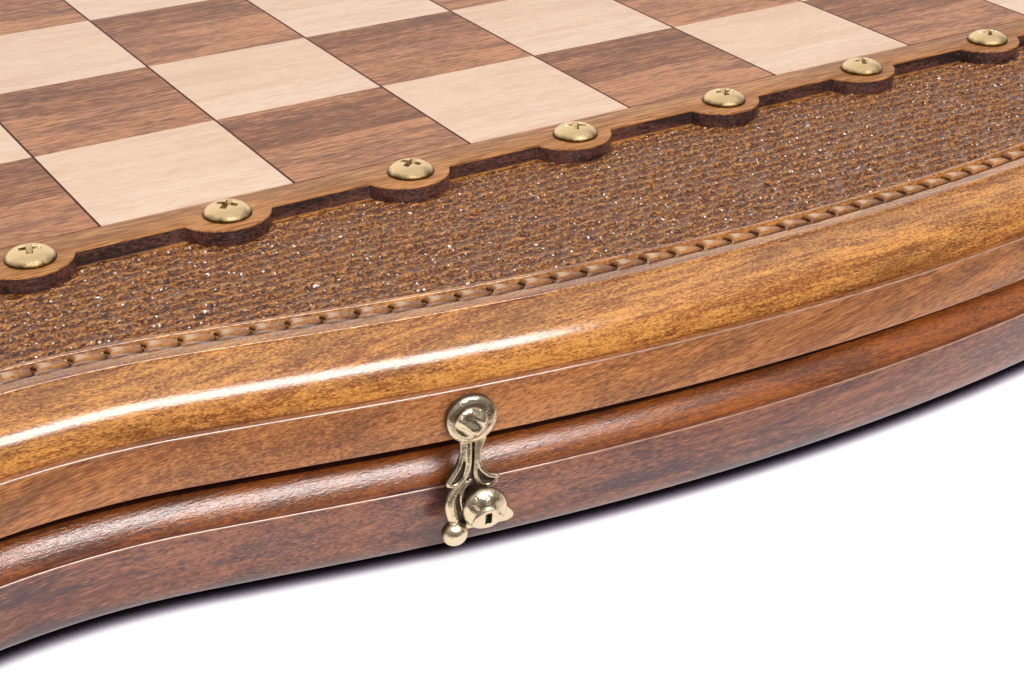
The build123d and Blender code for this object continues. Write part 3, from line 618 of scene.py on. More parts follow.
# %% Section helpers
def rounded(section, fallback=0.25):
    """The section's corners, each (kind, inset or half, height, radius), rounded off by four points."""
    result = []
    count = len(section)
    for i, corner in enumerate(section):
        kind, across, height = corner[:3]
        radius = corner[3] if len(corner) > 3 else fallback
        if radius == 0 or kind == "straight":
            result.append((kind, across, height))
            continue
        here = np.array((across, height))
        ends = []
        for other in (section[i - 1], section[(i + 1) % count]):
            way = np.array(other[1:3]) - here
            if other[0] == "straight":
                way = np.array((1.0, 0.0)) if abs(way[1]) < 1e-6 else way
            length = np.linalg.norm(way)
            ends.append(here + way / length * min(radius, length * 0.45))
        for t in (0, 0.3, 0.7, 1):
            point = (1 - t) ** 2 * ends[0] + 2 * t * (1 - t) * here + t * t * ends[1]
            result.append((kind, point[0], point[1]))
    return result


def arc_between(start, middle, end, count):
    """Section points of the circle through three (inset, height) points, without its two ends."""
    (ax, ay), (bx, by), (cx, cy) = start, middle, end
    d = 2 * (ax * (by - cy) + bx * (cy - ay) + cx * (ay - by))
    ux = ((ax**2 + ay**2) * (by - cy) + (bx**2 + by**2) * (cy - ay) + (cx**2 + cy**2) * (ay - by)) / d
    uy = ((ax**2 + ay**2) * (cx - bx) + (bx**2 + by**2) * (ax - cx) + (cx**2 + cy**2) * (bx - ax)) / d
    first, mid, last = (atan2(y - uy, x - ux) for x, y in (start, middle, end))
    turn = (last - first) % (2 * pi)
    if (mid - first) % (2 * pi) > turn:
        turn -= 2 * pi
    radius = hypot(ax - ux, ay - uy)
    angles = [first + turn * (i + 1) / (count + 1) for i in range(count)]
    return [("curve", ux + radius * cos(a), uy + radius * sin(a), 0) for a in angles]


print("rounded corner:", rounded([("curve", 0, 0), ("curve", 4, 0), ("curve", 4, 4)])[1])

# %% [markdown]
# ## From mesh to piece
# Every piece ends the same way: it gets its smooth shading and its finish, and it is told which body
# of the model it rides on and which plain CAD parts it stands for. Three small functions keep that in
# one place. The fourth helper turns what was drawn for the front to the other three sides.

# %% Piece helpers
def quarter_turned(mesh_points, side):
    """Front points turned to side 0 front, 1 right, 2 back or 3 left."""
    for _ in range(side):
        x, y = mesh_points[..., 0].copy(), mesh_points[..., 1].copy()
        mesh_points[..., 0], mesh_points[..., 1] = -y, x
    return mesh_points


def grain_way(side):
    """The grain runs along X on the front and the back, and along Y on the other two sides."""
    return "X" if side % 2 == 0 else "Y"


def shade(mesh, angle=38):
    """Smooth shading with sharp edges where faces meet at more than the angle."""
    mesh.polygons.foreach_set("use_smooth", [True] * len(mesh.polygons))
    mesh.set_sharp_from_angle(angle=radians(angle))
    return mesh


def new_piece(name, mesh, material, body, replaced=()):
    """Object with its finish, on its body, standing for CAD nodes."""
    piece = bpy.data.objects.new(name, mesh)
    bpy.context.scene.collection.objects.link(piece)
    if material is not None:
        mesh.materials.clear()
        mesh.materials.append(material)
    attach(piece, body)
    if replaced:
        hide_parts(*replaced)
    return piece


print("grain of the four sides:", [grain_way(side) for side in range(4)])

# %% [markdown]
# ## Planks with a moulded edge
# The real frame is planed and routed: each plank's section is the same all along, and its ends are
# mitred at 45 degrees. A sweep by curve and bevel object would round the mitres, so the mesh is made
# directly: the section's corners at every station, joined by quads, with one flat face on each mitre.
# A corner of the kind "curve" keeps its inset from the wavy line, and one of the kind "straight"
# keeps its distance from the middle of the box, as the inner edges of the frame do.

# %% Plank builder
def plank_mesh(name, section, side, step=5.0):
    """Mitred plank with the given section, swept along one side of the box."""
    points, outward = side_stations(step)
    corners = rounded(section)
    rings = np.zeros((len(corners), len(points), 3))
    share = points[:, 0] / abs(points[0, 0])
    for i, (kind, across, height) in enumerate(corners):
        if kind == "curve":
            rings[i, :, :2] = points - across * outward
        else:
            rings[i, :, 0] = share * across
            rings[i, :, 1] = -across
        rings[i, :, 2] = height
    rings = quarter_turned(rings, side)
    count, length = len(corners), len(points)
    faces = []
    for i in range(count):
        j = (i + 1) % count
        for k in range(length - 1):
            faces.append((i * length + k, i * length + k + 1, j * length + k + 1, j * length + k))
    faces.append([i * length for i in range(count)])
    faces.append([i * length + length - 1 for i in reversed(range(count))])
    mesh = bpy.data.meshes.new(name)
    mesh.from_pydata(rings.reshape(-1, 3) * MM, [], faces)
    work = bmesh.new()
    work.from_mesh(mesh)
    bmesh.ops.recalc_face_normals(work, faces=work.faces)
    work.to_mesh(mesh)
    work.free()
    return shade(mesh)


print("plank builder ready, stations every 5 mm")

# %% [markdown]
# ## The four profiles of the silhouette
# From above: the border's big bead, a sloping shoulder, a step and the flat band that the rope
# ornament stands in; the lid's plain side; the base's smaller bead under a deep neck; the base's
# plain side with a rounded foot. The border's carved ground is left low here, because the carving is
# a piece of its own that lies in it. Each corner is its inset from the lid's side and its height.

# %% Sections of the planks
lid_bottom, ledge, lip_top, ground, lid_top = 28.6, 40.0, 45.2, 50.2, 53.7
base_top, skirt_top, neck_inset, opening_half, bead_end = 28.1, 16.6, 12.6, 221.98, 23.2

border_section = [
    ("straight", 172.0, ledge),
    ("curve", 1.6, ledge, 0.25),
    ("curve", 1.6, ledge + 0.5, 0),
    *arc_between((1.6, ledge + 0.5), (3.108, 46.11), (7.4, 49.4), 22),
    ("curve", 7.4, 49.4, 0),
    ("curve", 10.1, 51.1, 0),
    ("curve", 10.3, 51.8, 0.3),
    ("curve", 13.3, 51.8, 0.2),
    ("curve", 13.7, 51.3, 0.2),
    ("curve", 16.9, 51.3, 0.2),
    ("curve", 17.3, 52.6, 0.3),
    ("curve", 18.2, 52.6, 0.4),
    ("curve", 18.7, 48.8, 0),
    ("straight", 190.2, 48.8),
    ("straight", 190.2, ground),
    ("straight", 180.1, ground),
    ("straight", 180.1, lip_top),
    ("straight", 172.0, lip_top),
]
wall_section = [
    ("straight", opening_half, lid_bottom),
    ("curve", 1.0, lid_bottom, 0),
    *arc_between((1.0, lid_bottom), (0.3, lid_bottom + 0.3), (0, lid_bottom + 1.0), 3),
    ("curve", 0, lid_bottom + 1.0, 0),
    ("curve", 0, ledge, 0.35),
    ("straight", opening_half, ledge),
]
rail_section = [
    ("straight", opening_half, skirt_top),
    ("curve", 4.8, skirt_top, 0),
    *arc_between((4.8, skirt_top), (7.0, 21.0), (11.2, bead_end), 22),
    ("curve", 11.2, bead_end, 0),
    ("curve", neck_inset, bead_end, 0),
    ("curve", neck_inset, base_top, 0.3),
    ("straight", opening_half, base_top),
]
skirt_inset, foot = 3.5, 6.0
foot_middle = foot * (1 - sqrt(0.5))
skirt_section = [
    ("straight", opening_half, 0),
    ("curve", skirt_inset + foot, 0, 0),
    *arc_between((skirt_inset + foot, 0), (skirt_inset + foot_middle, foot_middle), (skirt_inset, foot), 9),
    ("curve", skirt_inset, foot, 0),
    ("curve", skirt_inset, skirt_top, 0.35),
    ("straight", opening_half, skirt_top),
]
print("corners in the border's section:", len(rounded(border_section)))

# %% [markdown]
# ## Sixteen planks
# The frame is glued up from four lengths of each profile. A plank takes two finishes: its own, and a
# second one on the few narrow faces near its top. On the base's rail that second finish is painted
# shade: the neck and the top of the bead under the lid are coloured nearly black. On the two plain
# sides it is a painted highlight: a paler colour along the arris. The flat tops of those sides lie
# against the next plank, so a face that looks straight up keeps the first finish.

# %% Planks on all four sides
sides = ("front", "right", "back", "left")
# the second finish in each row: neck paints the shade under the lid, arris paints a pale highlight line
profiles = (
    ("lid_border", border_section, "moulding", "carved_border_wood", "lid", None, None),
    ("lid_wall", wall_section, "lid side", "lid_side_wood", "lid", "arris", ledge - 0.34),
    ("base_rail", rail_section, "base bead", "base_wood", "base", "neck", bead_end - 0.8),
    ("base_skirt", skirt_section, "base side", "base_wood", "base", "arris", skirt_top - 0.34),
)
for number, side in enumerate(sides):
    for stem, section, finish, slot, body, upper, above in profiles:
        mesh = plank_mesh("moulded_" + stem + "_" + side, section, number)
        mesh.materials.append(finishes[finish, grain_way(number)])
        if upper:
            second = "neck" if upper == "neck" else (upper, grain_way(number))
            mesh.materials.append(finishes[second])
            for face in mesh.polygons:
                looks_up = upper == "arris" and abs(face.normal.z) > 0.93
                face.material_index = int(face.center.z > above * MM and not looks_up)
        new_piece(mesh.name, mesh, None, body, [stem + "_" + side])
print("planks:", len(sides) * len(profiles), "with", len(mesh.vertices), "points in a skirt")

# %% [markdown]
# ## The carved ground's sheet
# Between the rope and the scalloped strip the wood is cut all over with a small gouge, one bite
# beside the next in staggered rows, until it looks like fish scales. Thousands of bites made as
# separate solids would be heavy and would not join up, so they are pressed into one fine sheet. The
# sheet runs from the wavy rope line to the straight strip, and each of its points carries a share
# from 0 to 1 that fades the carving out beside the rope and the strip, where a gouge can't reach.

# %% Sheet that the carving is pressed into
ear_radius, ear_out, strip_out = 10.7, 185.8, 189.4
first_ear = half_field - 26.4
ear_places = np.linspace(-first_ear, first_ear, 8)


def gap_to_strip(x, y):
    """Distance in millimetres from the front strip's outline, outwards."""
    gap = -y - strip_out
    for ear in ear_places:
        gap = np.minimum(gap, np.hypot(x - ear, y + ear_out) - ear_radius)
    return gap


def carving_sheet(name, rim=18.25, floor_height=48.9, crest=50.75, rows=92, step=0.66):
    """Closed slab under the carved surface, with how strongly each of its points is carved."""
    points, outward = side_stations(step)
    curve = points - rim * outward
    share = points[:, 0] / abs(points[0, 0])
    straight = np.column_stack((share * strip_out, np.full(len(points), -strip_out)))
    blend = np.linspace(0, 1, rows)[:, None, None]
    plan = curve * (1 - blend) + straight * blend
    top = np.concatenate((plan, np.full(plan.shape[:2] + (1,), crest)), axis=2)
    from_rope = np.linalg.norm(plan - curve, axis=2)
    from_strip = gap_to_strip(plan[..., 0], plan[..., 1])
    rope_fade, strip_fade = 1.1, 1.3
    strength = np.clip(from_rope / rope_fade, 0, 1) * np.clip(from_strip / strip_fade, 0, 1)

    index = np.arange(rows * len(points)).reshape(rows, -1)
    quads = np.stack((index[:-1, :-1], index[:-1, 1:], index[1:, 1:], index[1:, :-1]), axis=2)
    faces = quads.reshape(-1, 4).tolist()
    border = [*index[0], *index[1:, -1], *index[-1, -2::-1], *index[-2:0:-1, 0]]
    below = rows * len(points) + np.arange(len(border))
    for i in range(len(border)):
        j = (i + 1) % len(border)
        faces.append((border[j], border[i], below[i], below[j]))
    faces.append(list(below[::-1]))
    foot = top.reshape(-1, 3)[border]
    foot[:, 2] = floor_height
    mesh = bpy.data.meshes.new(name)
    mesh.from_pydata(np.vstack((top.reshape(-1, 3), foot)) * MM, [], faces)
    carved = mesh.attributes.new("carved", "FLOAT", "POINT")
    values = np.concatenate((strength.ravel(), np.zeros(len(border))))
    carved.data.foreach_set("value", values.astype(np.float32))
    return mesh


sheet = carving_sheet("carved_ground")
print("points in the sheet:", len(sheet.vertices))

# %% [markdown]
# ## Working with geometry trees
# Three helpers serve every repeated shape below. The first makes an empty tree with its named
# inputs. The second puts a tree on an object; a modifier knows its inputs by an identifier such as
# Socket_2, not by their name, so the names are looked up. The third takes the finished mesh off the
# object, because the model's pieces are plain meshes without modifiers. The cell ends by opening the
# first tree, that of the carving: its sizes in metres are its named inputs, which stay editable.

# %% Geometry tree helpers
FLOAT, INT, OBJECT, FINISH = ("NodeSocket" + kind for kind in ("Float", "Int", "Object", "Material"))


def group(name, sockets):
    """Geometry tree with named inputs; each is (name, socket type, default)."""
    tree = bpy.data.node_groups.new(name, "GeometryNodeTree")
    tree.interface.new_socket("Geometry", in_out="INPUT", socket_type="NodeSocketGeometry")
    for label, kind, default in sockets:
        socket = tree.interface.new_socket(label, in_out="INPUT", socket_type=kind)
        if default is not None:
            socket.default_value = default
    tree.interface.new_socket("Geometry", in_out="OUTPUT", socket_type="NodeSocketGeometry")
    return tree, add(tree, "NodeGroupInput").outputs


def use_tree(piece, tree, **values):
    """Puts the tree on the piece and sets its inputs by their identifiers."""
    modifier = piece.modifiers.new("shape", "NODES")
    modifier.node_group = tree
    for item in tree.interface.items_tree:
        key = item.name.replace(" ", "_").lower()
        if item.in_out == "INPUT" and key in values:
            modifier[item.identifier] = values[key]


def as_mesh(piece, name):
    """Plain mesh of the evaluated piece, which is then removed."""
    bpy.context.view_layer.update()
    seen = piece.evaluated_get(bpy.context.evaluated_depsgraph_get())
    mesh = bpy.data.meshes.new_from_object(seen)
    mesh.name = name
    bpy.data.objects.remove(piece)
    return mesh


sizes = [("Pitch", FLOAT, 0.0062), ("Row", FLOAT, 0.00305), ("Bow", FLOAT, 0.0011)]
sizes += [("Depth", FLOAT, 0.0011), ("Wander", FLOAT, 0.0005), ("Roughness", FLOAT, 0.0003)]
sizes += [("Seed", FLOAT, 1.0), ("Finish", FINISH, None)]
scales, given = group("gouged scales", sizes)
print("inputs of the scales tree:", [name for name, kind, default in sizes])

# %% [markdown]
# ## Where a point lies among the bites
# A carver's rows are never quite straight. A slow noise first moves each point by up to a millimetre,
# and only then is it read as a number along its row and a number of rows out, so that the whole
# lattice wanders and no bite is torn. A noise hardly ever strays more than a quarter from its middle,
# so its swing is multiplied by four to reach the size that the input names.

# %% Lattice of the bites
waves = 130.0  # to the metre, so about 8 mm long
position = add(scales, "GeometryNodeInputPosition").outputs[0]
drift = {"Vector": position, "W": given["Seed"], "Scale": waves, "Detail": 1.0}
drift = add(scales, "ShaderNodeTexNoise", drift, noise_dimensions="4D").outputs["Color"]
drift = add(scales, "ShaderNodeVectorMath", {0: drift, 1: (0.5, 0.5, 0.5)}, operation="SUBTRACT")
reach = add(scales, "ShaderNodeMath", {0: given["Wander"], 1: 4.0}, operation="MULTIPLY")
drift = add(scales, "ShaderNodeVectorMath", {0: drift, "Scale": reach}, operation="SCALE")
place = add(scales, "ShaderNodeVectorMath", {0: position, 1: drift}, operation="ADD")
axes = add(scales, "ShaderNodeSeparateXYZ", {0: place}).outputs
along = add(scales, "ShaderNodeMath", {0: axes["X"], 1: given["Pitch"]}, operation="DIVIDE")
towards = add(scales, "ShaderNodeMath", {0: axes["Y"], 1: -1.0}, operation="MULTIPLY")
out = add(scales, "ShaderNodeMath", {0: towards, 1: given["Row"]}, operation="DIVIDE")
row = add(scales, "ShaderNodeMath", {0: out}, operation="FLOOR")
in_row = add(scales, "ShaderNodeMath", {0: out}, operation="FRACT")
bow = add(scales, "ShaderNodeMath", {0: given["Bow"], 1: given["Row"]}, operation="DIVIDE")
print("nodes so far:", len(scales.nodes))

# %% [markdown]
# ## Crests, and the bite between two of them
# A gouge leaves a curved crest at the back of each bite. Every row is shifted by half a bite against
# the last one and by a small random step, and within a bite the crest bends outwards as a parabola
# does. A point belongs to its own row, or to the one behind where the crest has bent past it. How far
# it lies from that crest to the next one gives the depth: a power before the sine makes the wall
# steep just behind the crest, and that wall faces outwards, which is what glints.

# %% Crests of the rows
def crest(number):
    """How far a row's crest bends out at this point, the square of how far off its middle, the cell."""
    shifted = add(scales, "ShaderNodeMath", {0: number, 1: 0.5, 2: along}, operation="MULTIPLY_ADD")
    chance = add(scales, "ShaderNodeTexWhiteNoise", {"W": number}, noise_dimensions="1D").outputs["Value"]
    uneven = add(scales, "ShaderNodeMath", {0: chance, 1: 0.22, 2: shifted}, operation="MULTIPLY_ADD")
    inside = add(scales, "ShaderNodeMath", {0: uneven}, operation="FRACT")
    middle = add(scales, "ShaderNodeMath", {0: inside, 1: 0.5}, operation="SUBTRACT")
    square = add(scales, "ShaderNodeMath", {0: middle, 1: middle}, operation="MULTIPLY")
    square = add(scales, "ShaderNodeMath", {0: square, 1: 4.0}, operation="MULTIPLY")
    bend = add(scales, "ShaderNodeMath", {0: square, 1: bow}, operation="MULTIPLY")
    whole = add(scales, "ShaderNodeMath", {0: uneven}, operation="FLOOR")
    cell = add(scales, "ShaderNodeMath", {0: number, 1: 31.7}, operation="MULTIPLY")
    cell = add(scales, "ShaderNodeMath", {0: whole, 1: cell}, operation="ADD")
    return bend, square, cell


bent_past = add(scales, "ShaderNodeMath", {0: crest(row)[0], 1: in_row}, operation="GREATER_THAN")
behind = add(scales, "ShaderNodeMath", {0: row, 1: bent_past}, operation="SUBTRACT")
ahead = add(scales, "ShaderNodeMath", {0: behind, 1: 1.0}, operation="ADD")
bend_behind, square_behind, cell = crest(behind)
bend_ahead = crest(ahead)[0]
travelled = add(scales, "ShaderNodeMath", {0: out, 1: behind}, operation="SUBTRACT")
travelled = add(scales, "ShaderNodeMath", {0: travelled, 1: bend_behind}, operation="SUBTRACT")
length = add(scales, "ShaderNodeMath", {0: bend_ahead, 1: bend_behind}, operation="SUBTRACT")
length = add(scales, "ShaderNodeMath", {0: length, 1: 1.0}, operation="ADD")
length = add(scales, "ShaderNodeMath", {0: length, 1: 0.2}, operation="MAXIMUM")
share = add(scales, "ShaderNodeMath", {0: travelled, 1: length}, operation="DIVIDE", use_clamp=True)
bite = add(scales, "ShaderNodeMath", {0: share, 1: 0.55}, operation="POWER")
bite = add(scales, "ShaderNodeMath", {0: bite, 1: pi}, operation="MULTIPLY")
bite = add(scales, "ShaderNodeMath", {0: bite}, operation="SINE")
print("nodes so far:", len(scales.nodes))

# %% [markdown]
# ## Pressing the bites into the sheet
# One bite is struck harder than the next, and each is shallower at its two ends. A little grit stands
# for torn fibres. The sum moves the sheet's top down, by the share that each point carries, and the
# bite is stored as an attribute so that the finish can darken it. Where nothing is carved, the sheet
# sinks to the level that the carving has on average, so that no bank is left along its edges.

# %% Depth of the bites
splinters = 900.0  # to the metre, so about a millimetre each
blow = add(scales, "ShaderNodeTexWhiteNoise", {"W": cell}, noise_dimensions="1D").outputs["Value"]
force = add(scales, "ShaderNodeMath", {0: blow, 1: 0.6, 2: 0.55}, operation="MULTIPLY_ADD")
ends = add(scales, "ShaderNodeMath", {0: square_behind, 1: -0.45, 2: 1.0}, operation="MULTIPLY_ADD")
struck = add(scales, "ShaderNodeMath", {0: bite, 1: force}, operation="MULTIPLY")
limit = add(scales, "ShaderNodeMath", {0: ends, 1: given["Depth"]}, operation="MULTIPLY")
depth = add(scales, "ShaderNodeMath", {0: struck, 1: limit}, operation="MULTIPLY")
grit = {"Vector": position, "W": given["Seed"], "Scale": splinters, "Detail": 2.0}
grit = add(scales, "ShaderNodeTexNoise", grit, noise_dimensions="4D")
grit = add(scales, "ShaderNodeMath", {0: grit, 1: 0.5}, operation="SUBTRACT")
height = add(scales, "ShaderNodeMath", {0: given["Roughness"], 1: 4.0}, operation="MULTIPLY")
torn = add(scales, "ShaderNodeMath", {0: grit, 1: height}, operation="MULTIPLY")
carved = add(scales, "GeometryNodeInputNamedAttribute", {"Name": "carved"}, data_type="FLOAT").outputs[0]
drop = add(scales, "ShaderNodeMath", {0: torn, 1: depth}, operation="SUBTRACT")
drop = add(scales, "ShaderNodeMath", {0: drop, 1: carved}, operation="MULTIPLY")
plain = add(scales, "ShaderNodeMath", {0: 1.0, 1: carved}, operation="SUBTRACT")
sunk = add(scales, "ShaderNodeMath", {0: given["Depth"], 1: 0.6}, operation="MULTIPLY")
sunk = add(scales, "ShaderNodeMath", {0: plain, 1: sunk}, operation="MULTIPLY")
lowered = add(scales, "ShaderNodeMath", {0: drop, 1: sunk}, operation="SUBTRACT")
level = add(scales, "ShaderNodeSeparateXYZ", {0: position}).outputs["Z"]
between = 0.05  # metres: the sheet's top lies above this height and its foot below
top = add(scales, "FunctionNodeCompare", {0: level, 1: between}, operation="GREATER_THAN")
shift = add(scales, "ShaderNodeCombineXYZ", {"Z": lowered})
marked = {"Geometry": given["Geometry"], "Name": "bite", "Value": bite}
marked = add(scales, "GeometryNodeStoreNamedAttribute", marked)
pressed = {"Geometry": marked, "Selection": top, "Offset": shift}
pressed = add(scales, "GeometryNodeSetPosition", pressed)
whole = add(scales, "GeometryNodeRealizeInstances", {0: pressed})
finished = add(scales, "GeometryNodeSetMaterial", {"Geometry": whole, "Material": given["Finish"]})
add(scales, "NodeGroupOutput", {"Geometry": finished})
print("nodes in the tree:", len(scales.nodes))

# %% [markdown]
# ## Finish of the carved ground
# The cuts are darker and the crests are rubbed lighter, so the shader mixes two colour ramps by the
# stored bite. Cuts finer than the sheet's mesh, the torn fibres at the bottom of each bite, are a bump
# with a grain of 0.4 to 0.9 mm. Its facets catch some glints; the rest are painted highlights, small
# spots of near-white colour scattered over the ground.

# %% Gouged beech
def carved_finish(name, grain):
    """Lacquered beech, dark where the attribute bite is deep and rubbed pale on the crests."""
    paint = wood(name, "C48A54", "8A5426", "3A1A0C", grain, gloss=0.34, coat=0.7)
    tree = paint.node_tree
    principled = next(node for node in tree.nodes if node.type == "BSDF_PRINCIPLED")
    place = add(tree, "ShaderNodeTexCoord").outputs["Object"]
    longer = (0.55, 1, 1) if grain == "X" else (1, 0.55, 1)
    longer = add(tree, "ShaderNodeMapping", {"Vector": place, "Scale": longer})
    torn = {"Vector": longer, "Scale": 1000 / 0.9, "Detail": 3.0, "Roughness": 0.65}
    torn = add(tree, "ShaderNodeTexNoise", torn)
    fine = add(tree, "ShaderNodeTexNoise", {"Vector": longer, "Scale": 1000 / 0.42, "Detail": 2.0})
    fibres = add(tree, "ShaderNodeMath", {0: torn, 1: 0.5, 2: fine}, operation="MULTIPLY_ADD")
    evened = add(tree, "ShaderNodeMath", {0: fibres, 1: 0.667}, operation="MULTIPLY")
    pit_tones = [(0.38, "341A16"), (0.46, "5C3220"), (0.54, "8A4E14"), (0.62, "B87830")]
    crest_tones = [(0.38, "7A441C"), (0.6, "C48646")]
    pit, crests = (
        add(tree, "ShaderNodeValToRGB", {"Fac": evened}, stops=[(at, colour(code)) for at, code in tones])
        for tones in (pit_tones, crest_tones)
    )
    bitten = add(tree, "ShaderNodeAttribute", attribute_name="bite").outputs["Fac"]
    level = add(tree, "ShaderNodeMath", {0: evened, 1: -1.6, 2: bitten}, operation="MULTIPLY_ADD")
    deep = add(tree, "ShaderNodeMapRange", {"Value": level, "From Min": -0.6, "From Max": -0.2})
    tone = {"Factor": deep, 6: crests.outputs["Color"], 7: pit.outputs["Color"]}
    tone = add(tree, "ShaderNodeMix", tone, data_type="RGBA")
    # painted highlights: where a fine sparse noise peaks, the colour turns near-white, which stands for
    # glints
    painted_glint_noise = add(tree, "ShaderNodeTexNoise", {"Vector": place, "Scale": 1000 / 0.8, "Detail": 0.0})
    glint = add(tree, "ShaderNodeMapRange", {"Value": painted_glint_noise, "From Min": 0.772, "From Max": 0.795})
    tone = {"Factor": glint, 6: tone.outputs[2], 7: colour("FFF4EC")}
    tone = add(tree, "ShaderNodeMix", tone, data_type="RGBA")
    raised = add(tree, "ShaderNodeBump", {"Height": fibres, "Distance": 0.0005, "Strength": 0.85})
    for source, socket in ((tone.outputs[2], "Base Color"), (raised.outputs[0], "Normal")):
        tree.links.new(source, principled.inputs[socket])
    tree.links.new(raised.outputs[0], principled.inputs["Coat Normal"])
    return paint


# Gouged beech, darker in its cuts: brown and rough, with dark pits, rubbed crests and a scatter of
# small painted white glints.
for way in ("X", "Y"):
    finishes["carved", way] = carved_finish("gouged stained beech " + way, way)
print(len(finishes), "finishes with the carved ones")

# %% [markdown]
# ## Four carved grounds
# The sheet is carved once for each side, with another seed, before it is turned to its place. So no
# two sides have the same bites, and the rows follow every side alike.

# %% Carved grounds
for number, side in enumerate(sides):
    block = bpy.data.objects.new("block", sheet.copy())
    bpy.context.scene.collection.objects.link(block)
    use_tree(block, scales, seed=1.0 + number, finish=finishes["carved", grain_way(number)])
    mesh = as_mesh(block, "carved_ground_" + side)
    spots = np.zeros(len(mesh.vertices) * 3, np.float32)
    mesh.vertices.foreach_get("co", spots)
    mesh.vertices.foreach_set("co", quarter_turned(spots.reshape(-1, 3), number).ravel())
    mesh.update()
    new_piece(mesh.name, shade(mesh, 50), None, "lid", ["lid_border_" + side])
print("triangles in one ground:", sum(len(p.vertices) - 2 for p in mesh.polygons))

# %% [markdown]
# ## One punched bead
# A carver makes the rope beside the carved ground by pressing a curved punch into a half-round strip
# again and again: each bead is high where the punch turned over and slopes down to the next crescent
# cut. There are hundreds of them, so one bead has only a few dozen faces. It is a small grid whose
# columns are the height along the bead, bent sideways so that both of its ends are crescents.

# %% Bead
def bead_mesh(length, width=3.7, height=1.3, base=51.25, bend=1.15):
    """Bead from -length/2 to length/2 along X, both ends curved the same way."""
    stops = [-0.5, -0.485, -0.45, -0.38, -0.29, -0.18, -0.05, 0.1, 0.24, 0.34, 0.4, 0.44, 0.5]
    crown = [0.02, 0.45, 0.78, 0.96, 1.0, 0.96, 0.87, 0.75, 0.6, 0.48, 0.34, 0.05, -0.05]
    lanes = np.linspace(-1, 1, 9)
    upper, lower = [], []
    for lane in lanes:
        for stop, high in zip(stops, crown):
            x, y = stop * length + bend * (1 - lane * lane), lane * width / 2
            upper.append((x, y, base + sqrt(max(0.0, 1 - lane**4)) * high * height))
            lower.append((x, y, base - 0.35))
    count, below = len(stops), len(upper)
    faces = []
    for i in range(len(lanes) - 1):
        for j in range(count - 1):
            a = i * count + j
            faces.append((a, a + 1, a + count + 1, a + count))
            faces.append((below + a, below + a + count, below + a + count + 1, below + a + 1))
    rim = list(range(count)) + [i * count + count - 1 for i in range(1, len(lanes))]
    rim += [below - 1 - j for j in range(1, count)] + [i * count for i in range(len(lanes) - 2, 0, -1)]
    for a, b in zip(rim, rim[1:] + rim[:1]):
        faces.append((b, a, below + a, below + b))
    mesh = bpy.data.meshes.new("bead")
    mesh.from_pydata(np.array(upper + lower) * MM, [], faces)
    return shade(mesh, 60)


rope_inset, bead_pitch = 15.3, 6.9
print("faces in a bead:", len(bead_mesh(bead_pitch).polygons))

# %% [markdown]
# ## Stringing the beads
# The beads follow the band's wavy line at even steps. Geometry Nodes resamples the line to as many
# points as there are beads and sets a bead on each, turned to the line's tangent. The line starts and
# ends half a bead before the mitres, so that the ropes of two sides meet in a full bead.

# %% Line and tree of the rope
def rope_line(inset, pitch):
    """Points of the front side's line at an inset, how many beads fit on it, and their true pitch."""
    points, outward = side_stations(2.0)
    line = points - inset * outward
    travel = np.concatenate(([0], np.cumsum(np.linalg.norm(np.diff(line, axis=0), axis=1))))
    count = round(travel[-1] / pitch)
    half = travel[-1] / count / 2
    at = np.linspace(half, travel[-1] - half, count * 4)
    line = np.column_stack((np.interp(at, travel, line[:, 0]), np.interp(at, travel, line[:, 1])))
    return line, count, half * 2


line, beads, pitch = rope_line(rope_inset, bead_pitch)
sockets = [("Beads", INT, 80), ("Bead", OBJECT, None), ("Finish", FINISH, None)]
stringing, given = group("string beads", sockets)
spaced = add(stringing, "GeometryNodeResampleCurve", {"Curve": given["Geometry"], "Count": given["Beads"]})
tangent = add(stringing, "GeometryNodeInputTangent")
turned = {"Vector": tangent}
turned = add(stringing, "FunctionNodeAlignRotationToVector", turned, axis="X", pivot_axis="Z")
one = add(stringing, "GeometryNodeObjectInfo", {"Object": given["Bead"]}).outputs["Geometry"]
repeated = {"Points": spaced, "Instance": one, "Rotation": turned}
repeated = add(stringing, "GeometryNodeInstanceOnPoints", repeated)
whole = add(stringing, "GeometryNodeRealizeInstances", {0: repeated})
finished = add(stringing, "GeometryNodeSetMaterial", {"Geometry": whole, "Material": given["Finish"]})
add(stringing, "NodeGroupOutput", {"Geometry": finished})
print(beads, "beads a side, pitch", round(pitch, 2), "mm")

# %% [markdown]
# ## Finish of the rope
# The colour is darker low down, in the cuts between the beads, and a pale colour on their crests paints
# a highlight. The rope lies level, so the height of a point says which of the two it is, and two ramps
# over Z paint both.

# %% Beads darker low down, with a painted highlight on top
def darker_low_painted_highlight_high(name, grain):
    """Beech stained brown, darker low down and with a pale painted highlight on top."""
    paint = wood(
        name, "CC8844", "94582A", "4A240E", grain,
        clouds=0.5, flecks=0.5, gloss=0.4, coat=0.5, coat_rough=0.25, fine=(0.9, 0.28),
    )
    tree = paint.node_tree
    principled = next(node for node in tree.nodes if node.type == "BSDF_PRINCIPLED")
    tone = principled.inputs["Base Color"].links[0].from_socket
    place = add(tree, "ShaderNodeTexCoord").outputs["Object"]
    height = add(tree, "ShaderNodeSeparateXYZ", {0: place}).outputs["Z"]
    # each layer, the darker one low down and then the painted highlight on top:
    # the height where it is strongest, where it ends, its colour, its most
    for full, none, code, most in ((0.0515, 0.0522, "2A1614", 0.95), (0.0526, 0.05235, "ECCCA6", 0.65)):
        share = {"Value": height, "From Min": full, "From Max": none, "To Min": most, "To Max": 0.0}
        share = add(tree, "ShaderNodeMapRange", share)
        mixed = {"Factor": share, 6: tone, 7: colour(code)}
        tone = add(tree, "ShaderNodeMix", mixed, data_type="RGBA").outputs[2]
    tree.links.new(tone, principled.inputs["Base Color"])
    return paint


